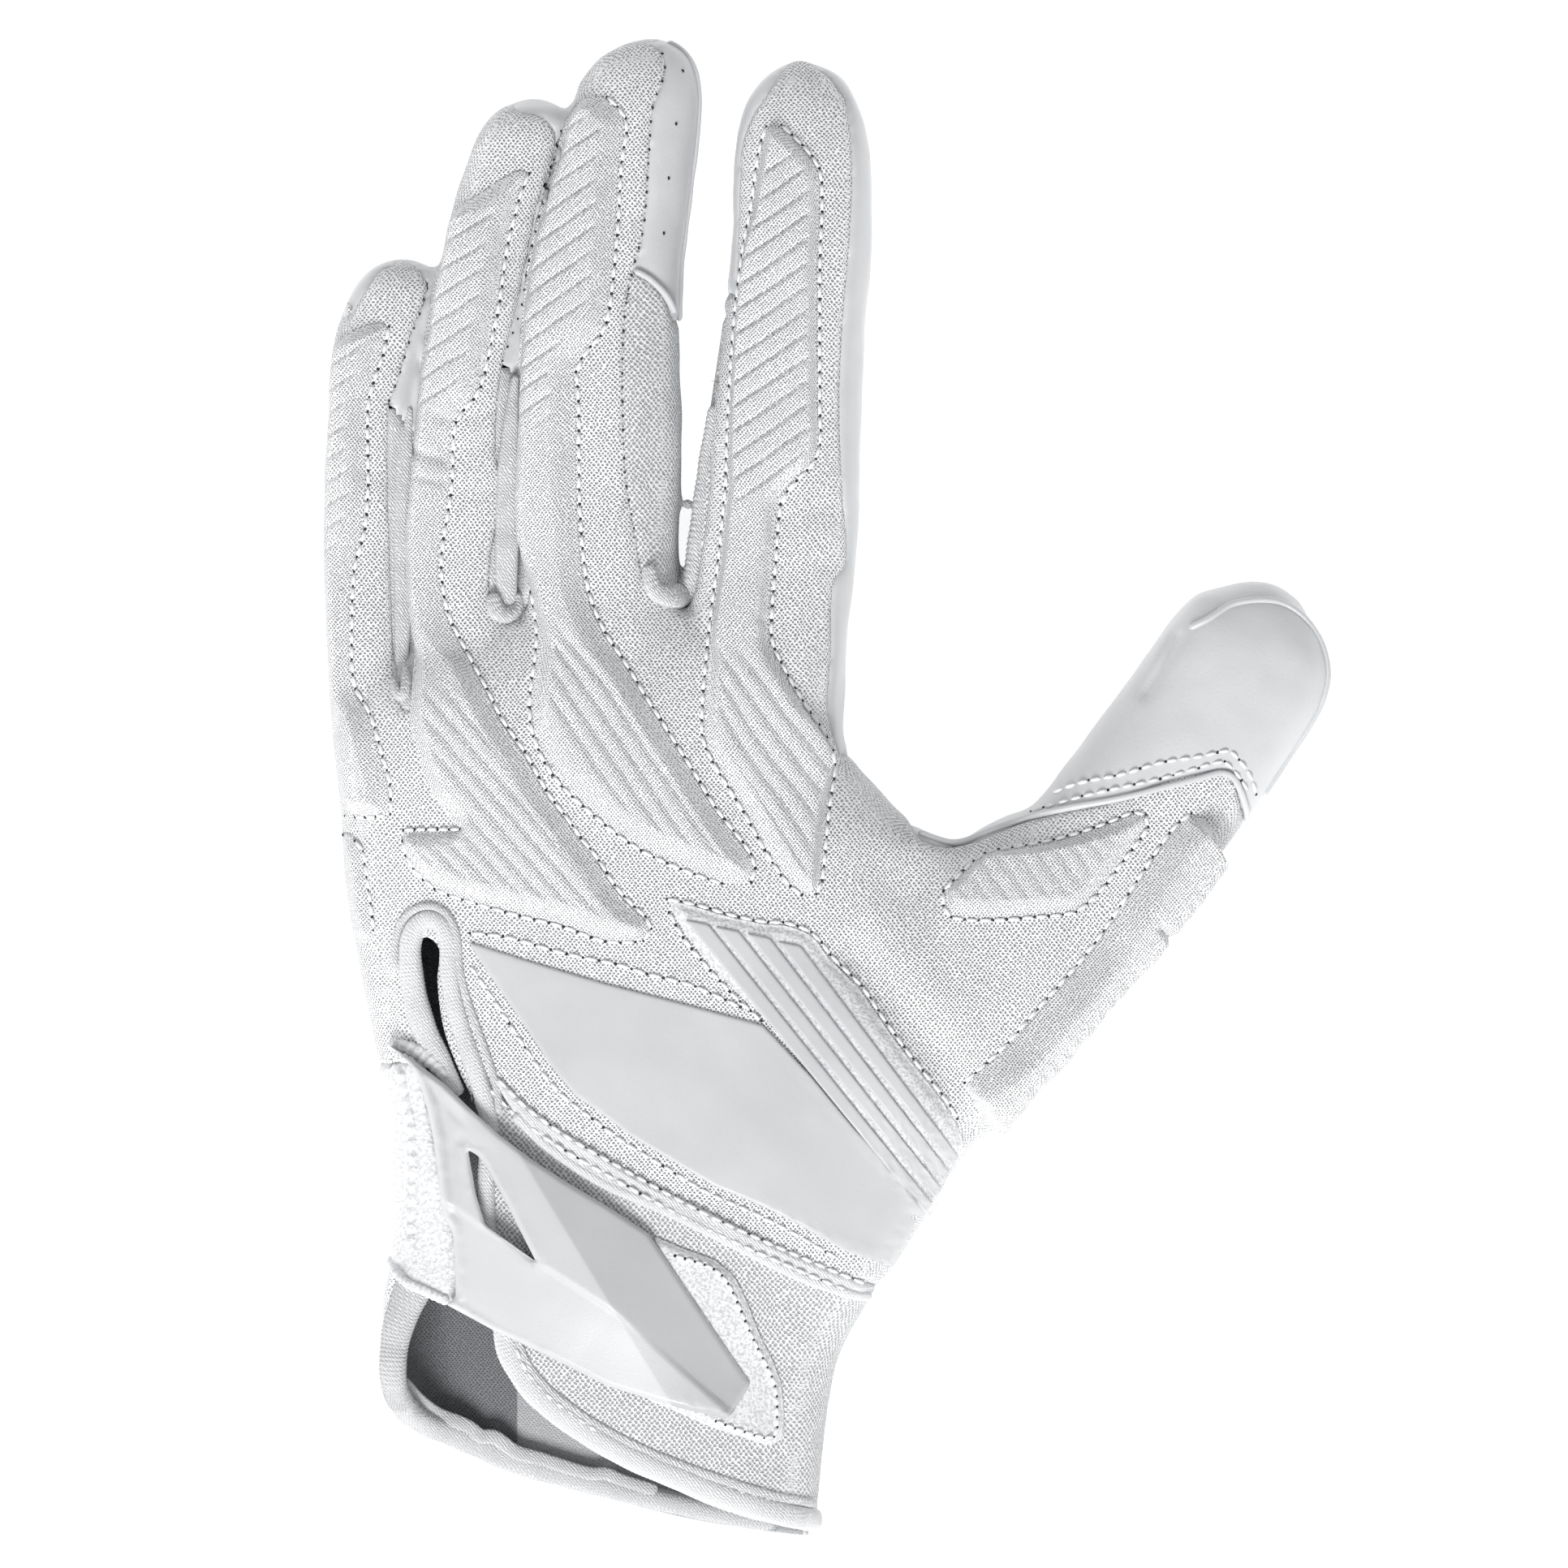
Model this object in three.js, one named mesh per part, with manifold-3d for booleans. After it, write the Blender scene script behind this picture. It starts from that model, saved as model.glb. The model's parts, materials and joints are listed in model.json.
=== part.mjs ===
// Football glove for the left hand, lying palm down with the fingers towards +Y and the thumb towards +X.
// Millimetres, +Z up, the origin on the table under the middle of the glove.
import * as THREE from "three";
import { mergeVertices } from "three/addons/utils/BufferGeometryUtils.js";
import Module from "manifold-3d";

// Driving sizes
const wall = 1.6; // knit back and leather palm
const gap = 0.3; // clearance between neighbouring pieces
const padHeight = 2.4; // foam pads above the knit
const ribHeight = 0.8; // ribs above a pad
const plateHeight = 2; // rubber plate above the knit
const tapeHeight = 1.2; // stitched tape and hook patch above the knit
const ribBaseHeight = 1; // knit field under the rubber ribs
const rubberRibHeight = 2.4; // rubber ribs above the knit
const strapLow = 1.7; // underside of the strap above the knit
const strapHigh = 4.2; // top of the strap above the knit
const bindingOut = 0.9; // how far a rolled edge stands out of the wall
const bindingIn = 2.4; // how deep a rolled edge reaches behind the outer face
const palmSeam = 7.6; // height of the seam between palm and back
const slitFloor = 12; // everything of the slit lies above this height
const sideWallTop = 25; // height of the open cuff's standing side
const sky = 80; // above everything
const below = -5; // under everything
const fingerSides = { over: 6, under: 3 }; // faces over and under the middle of a section
const palmSides = { over: 8, under: 3 };
const roundOver = 2.3; // exponent of a section's upper half, 2 is an ellipse
const roundUnder = 3; // its lower half is squarer
const fullUnder = 1.12; // and fuller, so that it lies broad and flat on the table

// Colours of the finishes
const knitWhite = 0xf1f1f2;
const padWhite = 0xececee;
const leatherWhite = 0xf7f7f8;
const rubberWhite = 0xf4f5f6;
const twillWhite = 0xe8e8ea;

// A row for each cross section: y along the glove, its left and right edge in x,
// the height of its middle and its half thickness.
const sectionColumns = ["y", "left", "right", "mid", "half"];
const pinkySections = [
  [-1.5, -79.9, -66.4, 12, 12.5],
  [18.5, -81.9, -68.8, 10.6, 10.8],
  [38, -82.5, -69.8, 9.6, 9.2],
  [59.5, -81.9, -68, 9.4, 8.8],
  [77, -79.9, -65.9, 8.2, 8.1],
  [82, -77.4, -65.1, 7.6, 7.3],
  [85, -74.1, -66.4, 7, 5],
  [86.3, -70, -69.4, 6.8, 1],
];
const ringSections = [
  [5, -69, -48.5, 14, 14],
  [23.5, -68.4, -49.2, 12.6, 12],
  [43.5, -68.8, -51.9, 11.8, 10.4],
  [64.5, -66.5, -51.5, 11.6, 9.8],
  [86, -63.3, -48.9, 10.2, 9.3],
  [102, -59.2, -45.1, 8.7, 8.6],
  [106.5, -57.1, -44, 8.1, 7.9],
  [109.5, -54.2, -44.4, 7.4, 5.8],
  [111.5, -49.2, -48.4, 7, 1],
];
const middleSections = [
  [5, -49.2, -21.1, 16, 16],
  [22.5, -50.2, -21.6, 15.2, 14],
  [35.5, -50.7, -24.8, 14.6, 11.6],
  [57, -51, -24, 14.2, 10.4],
  [78, -49.3, -24.4, 13, 10],
  [114, -41.2, -21.1, 8.7, 8.5],
  [118.4, -38.2, -22, 8, 6.8],
  [121.2, -34.1, -24.6, 7.4, 4.2],
  [122.4, -29.3, -28.5, 7.2, 1],
];
const indexSections = [
  [5, -22.7, 2, 16, 15.5],
  [22.5, -24.2, 3, 14.8, 13.4],
  [35.5, -23.2, 4.4, 13.8, 11.6],
  [57, -20.5, 5.4, 13, 10.5],
  [78, -17, 6.4, 12, 10.1],
  [99, -15.6, 7, 10.2, 9.6],
  [112.5, -13.4, 4.5, 8.3, 7.6],
  [116, -10.1, 2.1, 7.7, 5.2],
  [119, -5.2, -4.4, 7.4, 1],
];
const palmSections = [
  [-128, -71.9, -2, 20, 20.3],
  [-103.5, -72.5, -0.5, 20, 20.3],
  [-94.5, -72.9, 1.2, 20, 20.4],
  [-84, -72.9, 6.6, 20, 20.5],
  [-70.5, -71.4, 15.8, 19.6, 20.4],
  [-57, -72.5, 23.7, 19.2, 20],
  [-31, -76.5, 19.7, 18, 19],
  [-9.5, -79.6, 17.1, 17, 18],
  [1, -80.2, 6.8, 16.5, 17.2],
  [6.5, -80.7, 2.8, 16.2, 16.9],
  [13, -79, 1.9, 15.6, 16],
  [21, -69, -2.8, 14.5, 14],
  [27.5, -55.8, -16, 13.5, 11.5],
];

// The thumb lies at a slant, so its rows give the middle of each section and half its width.
const slantColumns = ["x", "y", "halfWidth", "mid", "half"];
const thumbSections = [
  [2.5, -53, 18.6, 19, 18.5],
  [13, -39.7, 21.9, 18, 18],
  [33.7, -19.4, 19.2, 15, 15.2],
  [42, -14, 16.3, 13.8, 14],
  [51.7, -2.7, 15, 12.6, 12.8],
  [68.1, 19.4, 14.2, 11, 11.1],
  [71.4, 23.5, 13.3, 10.4, 10.1],
  [73.8, 26.7, 10.1, 10, 8.4],
  [75.7, 29, 6.6, 9.6, 5.8],
  [77.1, 30.3, 0.4, 9.4, 1],
];

// A row for each level of a finger pad: y, its left edge and its right edge in x.
const bandColumns = ["y", "left", "right"];
const middlePadBands = [
  [112.2, -39.6, -36.6],
  [107, -43, -33.9],
  [88.5, -47.4, -35.1],
  [75.5, -49.1, -36.8],
  [72, -49.6, -39.2],
  [68, -49.9, -41.6],
  [48.8, -50.4, -41.2],
  [39.6, -50.2, -40.7],
  [31.6, -48.4, -39.6],
  [25, -47.4, -37],
  [14.4, -48.4, -30.3],
  [2.5, -44.5, -22.7],
  [-9.5, -31.3, -14.4],
  [-12.8, -24, -12.5],
  [-15.6, -17.4, -13.1],
];
const ringPadBands = [
  [100.2, -51.3, -49.4],
  [93.2, -60.3, -51.7],
  [88.5, -62, -52.9],
  [72.7, -64.8, -55.5],
  [64.7, -65.8, -57.5],
  [59.4, -66.3, -61.3],
  [38.2, -68.2, -63.6],
  [27.6, -67.8, -62.4],
  [22.3, -67.4, -59.8],
  [10.4, -68.2, -53.5],
  [-1.5, -63.1, -46.1],
  [-6.3, -60.7, -42.4],
  [-7.1, -69.3, -41.9],
  [-12.1, -68.9, -38],
  [-16.8, -63.7, -35],
  [-20.7, -50.5, -31.3],
  [-25, -36.6, -30.6],
];
const pinkyPadBands = [
  [75.1, -75.4, -72.3],
  [71.4, -80.2, -73],
  [62, -81.3, -75.7],
  [48.8, -81.7, -75.7],
  [41.5, -81.8, -76.3],
  [35.6, -82, -77.9],
  [16.4, -81.4, -77.9],
  [11.7, -81, -75.3],
  [5, -80.4, -73.3],
  [0, -79.5, -71.9],
  [-4.6, -77, -71.9],
];
const indexPadBands = [
  [107.5, -9.7, -8.1],
  [100.5, -11.4, -2],
  [94, -12.3, -1.6],
  [87.3, -13.6, -1.9],
  [62, -15.9, -2],
  [54, -16.2, -2.3],
  [46.2, -16.6, -8.3],
  [29, -18.6, -9.7],
  [23.7, -19.2, -9.8],
  [13, -20.1, -4.4],
  [7.8, -20.1, -0.8],
  [3.8, -18.3, 0.5],
  [-4.2, -13.4, -0.5],
  [-10.8, -9.7, -1.1],
  [-17.4, -4.1, -2.5],
];
const sidePadBands = [
  [-8, -79.3, -78],
  [-13.4, -79, -75.7],
  [-21.4, -77.5, -74.3],
  [-25, -76.6, -74.6],
];

// A row for each run of slanting ribs on a pad: the first and last rib's y at its left end, how many
// ribs, their slope in degrees, and how far they stay from the left and the right edge.
const ribColumns = ["from", "to", "count", "slope", "insetLeft", "insetRight"];

// Outlines seen from above, each a short run of corners.
const thumbPadOutline = [
  [19.1, -17.4], [19.7, -20.7], [27.7, -21.4], [39.6, -20.3], [43.6, -17.2], [47.6, -12.1],
  [51.1, -6.8], [50.2, -4.6], [46.2, -6.2], [35.6, -9.5], [26.4, -11.1], [21.1, -15.4],
];
const thumbEdgeOutline = [
  [59.1, -4.8], [54.2, -10.1], [50.2, -16.1], [42.9, -26.7], [34.3, -36.6], [29, -42.6],
  [22.4, -48.6], [25.4, -56], [31.5, -51.5], [36.9, -46.2], [42.7, -37], [51.3, -25.7],
  [54.8, -25], [60, -18], [63, -12.1],
];
const plateOutline = [
  [-58.7, -25.4], [-55.8, -26.3], [-42.5, -30.4], [-22.7, -35.7], [-10.7, -38.9], [-2.8, -47.2],
  [15.8, -69.1], [10.5, -78.6], [-5.4, -71.1], [-18.7, -65.1], [-31.9, -57.2], [-41.2, -50.5],
  [-49.8, -38.6], [-55.8, -30],
];
const ribFieldOutline = [
  [-26, -18.5], [-10.7, -22.5], [-3.4, -24], [5.2, -33.3], [15.8, -47.2], [21.5, -57.2],
  [21.5, -61.1], [16.7, -69.1], [3.8, -53.9], [-2.8, -46.3], [-10.1, -38.1], [-21.3, -26.7],
];
const rubberRibOutlines = [
  [[-24.2, -21], [-16, -30.7], [-4.1, -43.9], [10.5, -60.5], [15.8, -67.4], [17.1, -66.7],
    [10.5, -58.9], [-2.8, -43.6], [-16, -28], [-21.1, -21.7]],
  [[-18.7, -22.1], [-12.1, -30.7], [1.2, -45.2], [14.4, -61.1], [17.8, -65.8], [19, -63.8],
    [10.5, -52.5], [-2.8, -36.6], [-15.4, -23]],
  [[-12.7, -23.8], [-8.1, -29.3], [5.2, -43.9], [17.1, -57.8], [19.4, -62.2], [19.9, -60.5],
    [16.4, -55.2], [5.2, -41.7], [-9.7, -24.4]],
  [[-7.4, -25.4], [-1.5, -31.3], [11.8, -47.2], [17.1, -53.9], [20, -59], [21, -58.2],
    [17.1, -50.5], [10.5, -42.6], [-3.8, -26.4]],
];
const tapeOutline = [
  [-55.1, -46.6], [-49.2, -51.9], [-37.2, -59.8], [-20, -69.1], [-5.4, -75.7], [5.2, -80.4],
  [8.9, -81], [6.6, -83.7], [-5.4, -79.7], [-16, -74.4], [-26.6, -69.1], [-42.5, -61.1],
  [-50.5, -53.9],
];
const strapOutline = [
  [-71.7, -42.2], [-62.4, -48.6], [-53.1, -57.2], [-42.5, -64.5], [-29.3, -72.7], [-12.7, -97.3],
  [-16.3, -102.9], [-29.3, -99.6], [-42.5, -94.3], [-54.2, -88.7], [-60.7, -83.3], [-61.1, -73.1],
  [-62.7, -70.4], [-64.4, -57.2], [-66.8, -47.9], [-69.7, -43.9],
];
const windowOutline = [
  [-58.7, -59.2], [-54.2, -63.4], [-50.5, -71.1], [-47.6, -77.3], [-55.8, -72], [-57.4, -66.4],
];
const hookPatchOutline = [
  [-28.6, -73.1], [-24, -75.1], [-15.4, -79.7], [-11.4, -89], [-7.3, -102.2], [-9.4, -107.5],
  [-18.7, -104.5], [-29.3, -99.8],
];
const keyholeBindingOutline = [
  [-69, -40.6], [-70.4, -32], [-70.6, -24], [-67.7, -20.3], [-65.1, -20.1], [-62.4, -21.1],
  [-60.8, -23.4], [-60.2, -29.3], [-57.8, -37.3], [-54.2, -51.9], [-58.4, -51.2], [-62.4, -41.9],
  [-63.7, -32.7], [-63.3, -27.4], [-65.7, -24.7], [-68.2, -25.4], [-68.1, -31], [-66.8, -39.3],
];
const indexWebOutline = [
  [-29.7, 34.9], [-28.9, 30.9], [-26.4, 30], [-23.7, 30.5], [-21.6, 34.9], [-20.5, 43.5],
  [-19.6, 52.8], [-18.2, 62.1], [-19.2, 62.5], [-21.1, 54.1], [-22.7, 46.2], [-23.6, 38.2],
  [-24.9, 34], [-26.9, 33.2],
];
const middleWebOutline = [
  [-55.1, 29], [-54.2, 27], [-51.5, 27.2], [-50, 29.2], [-49.7, 33], [-50.2, 35.4],
  [-50.9, 32], [-52, 30], [-53.4, 29.2],
];
const ringWebOutline = [
  [-70.9, 16.4], [-70.2, 13.6], [-69.2, 13.2], [-68.7, 15], [-68.5, 19], [-69, 20],
  [-69.3, 16.8], [-70, 15.9],
];

// Where the back flap ends at the wrist, from the slit to the thumb side, and how wide its rolled edge is.
const backHemLine = [
  [-54.2, -86], [-54.2, -89.6], [-53.1, -92.9], [-49.2, -99.3], [-42.5, -104.9], [-29.3, -112.2],
  [-16, -118.1], [-2.8, -121.4], [6, -123],
];
const palmHemLine = [
  [-78, -84], [-73.4, -89], [-72.3, -96.9], [-69, -103.3], [-55.8, -110.6], [-42.5, -114.8],
  [-22.7, -120.1], [-5.4, -122.4], [6, -122.4],
];
const hemWidth = 3.8;

// The open slit between the elastic side and the back flap, from the keyhole to the hem.
const slitOutline = [
  [-68.4, -25.4], [-65.7, -24.6], [-63.3, -27.4], [-63.7, -32.7], [-62.4, -41.9], [-58.4, -51.2],
  [-55, -58], [-54.2, -86], ...backHemLine.slice(1), [6, -132], [-62, -132], [-62, -84],
  [-61.4, -72], [-62.7, -70], [-64.4, -57], [-66.4, -48], [-66.8, -41], [-68, -34],
];

// Zones that part the skin into its panels.
const thumbWrapZone = [
  [14, -7.8], [21, -9.5], [33, -5.2], [47.6, -2.2], [64.1, 2.1], [65.9, 1.4], [68.8, -6.8],
  [90, -7], [90, 40], [14, 40],
];
const middleTipZone = [
  [-29.3, 121.8], [-26.6, 117.7], [-28.6, 111], [-29.3, 102], [-30.1, 91.2], [-32.2, 84],
  [-25, 76], [-18.8, 76], [-18.8, 124], [-29.3, 124],
];
const indexRimZone = [
  [-1, 124], [0.6, 115.6], [2.8, 111], [4, 103], [3.9, 94], [2.6, 78], [2.2, 57], [2.8, 44],
  [3.2, 37], [0.8, 24], [9, 24], [12, 60], [12, 124],
];
const indexFourchette = [
  [-33.5, 75], [-33.5, 55], [-32, 43], [-29, 33.5], [-26.5, 29.5], [-23, 30], [-20.8, 36],
  [-19, 52], [-17.2, 68], [-17, 76], [-23, 79], [-28, 75.5],
];
const middleFourchette = [
  [-52.6, 69.5], [-53.5, 62], [-53.6, 54], [-53.2, 46], [-54.3, 38], [-55, 29], [-53, 26.8],
  [-51, 26.8], [-49, 30], [-48.9, 42], [-48.9, 60], [-48, 72], [-50.4, 73],
];
const ringFourchette = [
  [-71.5, 62.5], [-71.9, 49], [-71.2, 36], [-70.8, 22], [-70.4, 14], [-69, 12.5], [-67.4, 13],
  [-66.9, 22], [-66.7, 36], [-66.4, 50], [-65, 62], [-67.5, 64],
];
const cuffZone = [
  [-58, -50], [-54, -53], [-42.5, -58.5], [-26.6, -67.1], [-5.4, -77.7], [8.5, -82.3],
  [30, -88], [30, -135], [-60.5, -135], [-60.5, -84],
];
const strapBaseZone = [[-90, -42.6], [-60.5, -42.6], [-60.5, -82], [-90, -82]];
const palmCuffZone = [[-90, -80], [40, -80], [40, -135], [-90, -135]];
const sideWallZone = [[-90, -82.3], [-66.5, -82.3], [-66.5, -135], [-90, -135]];
const sideWallEdge = [[-90, -82.6], [-67.5, -82.6], [-67.5, -103], [-90, -103]];

const wasm = await Module();
wasm.setup();

// Rows of a table as objects with the names of its columns.
function named(columns, rows) {
  return rows.map((row) => Object.fromEntries(columns.map((column, i) => [column, row[i]])));
}

// A closed geometry as a solid that can be joined and cut.
function toSolid(geometry) {
  geometry.deleteAttribute("normal");
  geometry.deleteAttribute("uv");
  const merged = mergeVertices(geometry, 1e-4);
  return new wasm.Manifold(
    new wasm.Mesh({
      numProp: 3,
      vertProperties: new Float32Array(merged.attributes.position.array),
      triVerts: new Uint32Array(merged.index.array),
    }),
  );
}

// An outline raised from one height to another.
function prism(outline, low, high) {
  const shape = new THREE.Shape(outline.map(([x, y]) => new THREE.Vector2(x, y)));
  const geometry = new THREE.ExtrudeGeometry(shape, { depth: high - low, bevelEnabled: false });
  geometry.translate(0, 0, low);
  return toSolid(geometry);
}

// The same outline moved outwards by a distance on every side, or inwards if it is negative.
function grown(outline, distance) {
  const turn = THREE.ShapeUtils.area(outline.map(([x, y]) => new THREE.Vector2(x, y))) > 0 ? 1 : -1;
  return outline.map((point, i) => {
    const before = outline[(i + outline.length - 1) % outline.length];
    const after = outline[(i + 1) % outline.length];
    const inward = new THREE.Vector2(point[0] - before[0], point[1] - before[1]).normalize();
    const onward = new THREE.Vector2(after[0] - point[0], after[1] - point[1]).normalize();
    const normal = new THREE.Vector2(inward.y + onward.y, -inward.x - onward.x).normalize();
    const slant = Math.max(0.5, normal.x * inward.y - normal.y * inward.x);
    const reach = (turn * distance) / slant;
    return [point[0] + normal.x * reach, point[1] + normal.y * reach];
  });
}

// The outline of a pad from its table: down its left side and up its right side.
function bandOutline(rows) {
  const bands = named(bandColumns, rows);
  const left = bands.map((band) => [band.left, band.y]);
  const right = bands.map((band) => [band.right, band.y]).reverse();
  return [...left, ...right];
}

// A strip of one width beside a line.
function strip(line, width) {
  const inner = line.map((point, i) => {
    const before = line[Math.max(0, i - 1)];
    const after = line[Math.min(line.length - 1, i + 1)];
    const along = new THREE.Vector2(after[0] - before[0], after[1] - before[1]).normalize();
    return [point[0] - along.y * width, point[1] + along.x * width];
  });
  return [...line, ...inner.reverse()];
}

// The sections of a tube that runs along Y.
function straightStations(rows) {
  return named(sectionColumns, rows).map((row) => ({
    centre: new THREE.Vector2((row.left + row.right) / 2, row.y),
    along: new THREE.Vector2(0, 1),
    halfWidth: (row.right - row.left) / 2,
    mid: row.mid,
    half: row.half,
  }));
}

// The sections of a tube that runs at a slant, each square to its middle line.
function slantedStations(rows) {
  const stations = named(slantColumns, rows).map((row) => ({
    centre: new THREE.Vector2(row.x, row.y),
    halfWidth: row.halfWidth,
    mid: row.mid,
    half: row.half,
  }));
  stations.forEach((station, i) => {
    const before = stations[Math.max(0, i - 1)].centre;
    const after = stations[Math.min(stations.length - 1, i + 1)].centre;
    station.along = after.clone().sub(before).normalize();
  });
  return stations;
}

// A closed tube through its sections, offset outwards by a distance or inwards if it is negative.
// It is flattened where it rests on the table.
function tube(stations, sides, distance) {
  const floor = Math.max(0, -distance);
  const count = sides.over + sides.under;
  const positions = [];
  stations.forEach((station, i) => {
    const before = stations[Math.max(0, i - 1)];
    const after = stations[Math.min(stations.length - 1, i + 1)];
    const run = after.centre.distanceTo(before.centre);
    const rise = Math.min(after.halfWidth, after.half) - Math.min(before.halfWidth, before.half);
    const last = i === stations.length - 1;
    const length = Math.hypot(run, rise);
    const widen = last ? 0 : (distance * run) / length;
    const shift = i === 0 ? -Math.max(0, -distance) : (last ? distance : (-distance * rise) / length);
    const centre = station.centre.clone().addScaledVector(station.along, shift);
    const halfWidth = Math.max(0.3, station.halfWidth + widen);
    const half = Math.max(0.3, station.half + widen);
    for (let k = 0; k < count; k++) {
      const turn = k < sides.over ? k / sides.over : 1 + (k - sides.over) / sides.under;
      const angle = Math.PI * turn;
      const over = k <= sides.over;
      const power = 2 / (over ? roundOver : roundUnder);
      const across = Math.sign(Math.cos(angle)) * Math.abs(Math.cos(angle)) ** power * halfWidth;
      const up = Math.abs(Math.sin(angle)) ** power * (over ? half : -half * fullUnder);
      positions.push(
        centre.x + station.along.y * across,
        centre.y - station.along.x * across,
        Math.max(floor, station.mid + up),
      );
    }
  });
  const index = [];
  for (let i = 0; i + 1 < stations.length; i++) {
    for (let k = 0; k < count; k++) {
      const a = i * count + k;
      const b = i * count + ((k + 1) % count);
      index.push(a, b + count, b, a, a + count, b + count);
    }
  }
  const end = (stations.length - 1) * count;
  for (let k = 1; k + 1 < count; k++) {
    index.push(0, k, k + 1);
    index.push(end, end + k + 1, end + k);
  }
  const geometry = new THREE.BufferGeometry();
  geometry.setAttribute("position", new THREE.Float32BufferAttribute(positions, 3));
  geometry.setIndex(index);
  return toSolid(geometry.toNonIndexed());
}

// The whole hand form, offset by a distance from the glove's outer face.
const formCache = new Map();
function handForm(distance) {
  if (!formCache.has(distance)) {
    const fingers = [pinkySections, ringSections, middleSections, indexSections];
    let form = tube(straightStations(palmSections), palmSides, distance);
    fingers.forEach((rows) => {
      form = form.add(tube(straightStations(rows), fingerSides, distance));
    });
    form = form.add(tube(slantedStations(thumbSections), fingerSides, distance));
    formCache.set(distance, form);
  }
  return formCache.get(distance);
}

// What lies between two offsets of the hand form.
function layer(low, high) {
  return handForm(high).subtract(handForm(low));
}

// A piece of one outline that follows the hand form between two offsets.
function onForm(outline, low, high, zLow = slitFloor) {
  return prism(outline, zLow, sky).intersect(layer(low, high));
}

// Keeps the main body of a piece where a cut leaves slivers beside it.
function mainBody(solid) {
  const bodies = solid.decompose();
  return bodies.reduce((best, body) => (body.volume() > best.volume() ? body : best));
}

const glove = new THREE.Group();

// Adds one named piece to the glove.
function addPiece(name, solid, color, roughness) {
  const { vertProperties, triVerts } = mainBody(solid).getMesh();
  const geometry = new THREE.BufferGeometry();
  geometry.setAttribute("position", new THREE.Float32BufferAttribute(vertProperties, 3));
  geometry.setIndex(new THREE.Uint32BufferAttribute(triVerts, 1));
  const mesh = new THREE.Mesh(geometry, new THREE.MeshStandardMaterial({ color, roughness, metalness: 0 }));
  mesh.name = name;
  glove.add(mesh);
}

// Slanting ribs across a pad, each a thin bar between the pad's edges, as outlines.
function ribOutlines(bands, run) {
  const { from, to, count, slope, insetLeft, insetRight } = run;
  const rows = named(bandColumns, bands);
  const edge = (y, side) => {
    const i = rows.findIndex((row, k) => k + 1 < rows.length && y <= row.y && y >= rows[k + 1].y);
    const share = (rows[i].y - y) / (rows[i].y - rows[i + 1].y);
    return rows[i][side] + (rows[i + 1][side] - rows[i][side]) * share;
  };
  const rise = Math.tan(THREE.MathUtils.degToRad(slope));
  const thick = (0.55 * Math.abs(to - from)) / (count - 1);
  return Array.from({ length: count }, (_, k) => {
    const y = from + ((to - from) * k) / (count - 1);
    const left = edge(y, "left") + insetLeft;
    const right = edge(Math.min(rows[0].y, y + rise * 4), "right") - insetRight;
    const top = y + rise * (right - left);
    return [[left, y - thick / 2], [right, top - thick / 2], [right, top + thick / 2], [left, y + thick / 2]];
  });
}

// A pad with its raised ribs, one solid.
function ribbedPad(outline, ribs) {
  let pad = onForm(outline, gap, padHeight);
  const edge = prism(grown(outline, -0.6), slitFloor, sky);
  ribs.forEach((rib) => {
    const bar = prism(rib, slitFloor, sky).intersect(layer(padHeight - 0.5, padHeight + ribHeight));
    pad = pad.add(bar.intersect(edge));
  });
  return pad;
}

// Parallel bars along a slanting line, for the ribs over a knuckle.
function knuckleRibs(start, direction, length, count, spacing, width) {
  const along = new THREE.Vector2(Math.cos(direction), Math.sin(direction));
  const across = new THREE.Vector2(-along.y, along.x);
  return Array.from({ length: count }, (_, k) => {
    const from = new THREE.Vector2(...start).addScaledVector(across, -k * spacing);
    const to = from.clone().addScaledVector(along, length);
    const side = across.clone().multiplyScalar(width / 2);
    return [
      [from.x - side.x, from.y - side.y], [to.x - side.x, to.y - side.y],
      [to.x + side.x, to.y + side.y], [from.x + side.x, from.y + side.y],
    ];
  });
}

// The skin is one wall, cut into its panels below. Whatever one panel takes leaves the gap in the next.
let skin = layer(-wall, 0);
skin = skin.subtract(prism(slitOutline, slitFloor, sky));
const palmHemCut = [...palmHemLine, [6, -135], [-90, -135], [-90, -84]];
skin = skin.subtract(prism(palmHemCut, below, sky));
skin = skin.subtract(prism([[-90, -84], [-60, -84], [-60, -135], [-90, -135]], sideWallTop, sky));

// Takes a zone out of the skin as a panel of its own.
function takePanel(zones) {
  let panel = null;
  zones.forEach(([outline, low, high]) => {
    const zone = prism(outline, low, high).intersect(skin);
    panel = panel ? panel.add(zone) : zone;
  });
  zones.forEach(([outline, low, high]) => {
    skin = skin.subtract(prism(grown(outline, gap), low === below ? below : low - gap, high + gap));
  });
  return panel;
}

// Rolled edges: each replaces a strip of the skin and stands a little out of it.
function rolledEdge(zones) {
  let roll = null;
  zones.forEach(([outline, low, high]) => {
    const zone = prism(outline, low, high).intersect(layer(-bindingIn, bindingOut));
    roll = roll ? roll.add(zone) : zone;
    skin = skin.subtract(prism(grown(outline, gap), low === below ? below : low - gap, high + gap));
  });
  return roll;
}

const backHemStrip = strip(backHemLine.slice(1), hemWidth);
const palmHemStrip = strip(palmHemLine, hemWidth + 0.4);
addPiece("back_hem_binding", rolledEdge([[backHemStrip, slitFloor + 2, sky]]), twillWhite, 0.85);
addPiece(
  "palm_hem_binding",
  rolledEdge([
    [palmHemStrip, below, slitFloor + 1],
    [sideWallEdge, sideWallTop - hemWidth, sideWallTop],
  ]),
  twillWhite,
  0.85,
);
addPiece("keyhole_binding", rolledEdge([[keyholeBindingOutline, slitFloor, sky]]), twillWhite, 0.85);

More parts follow.
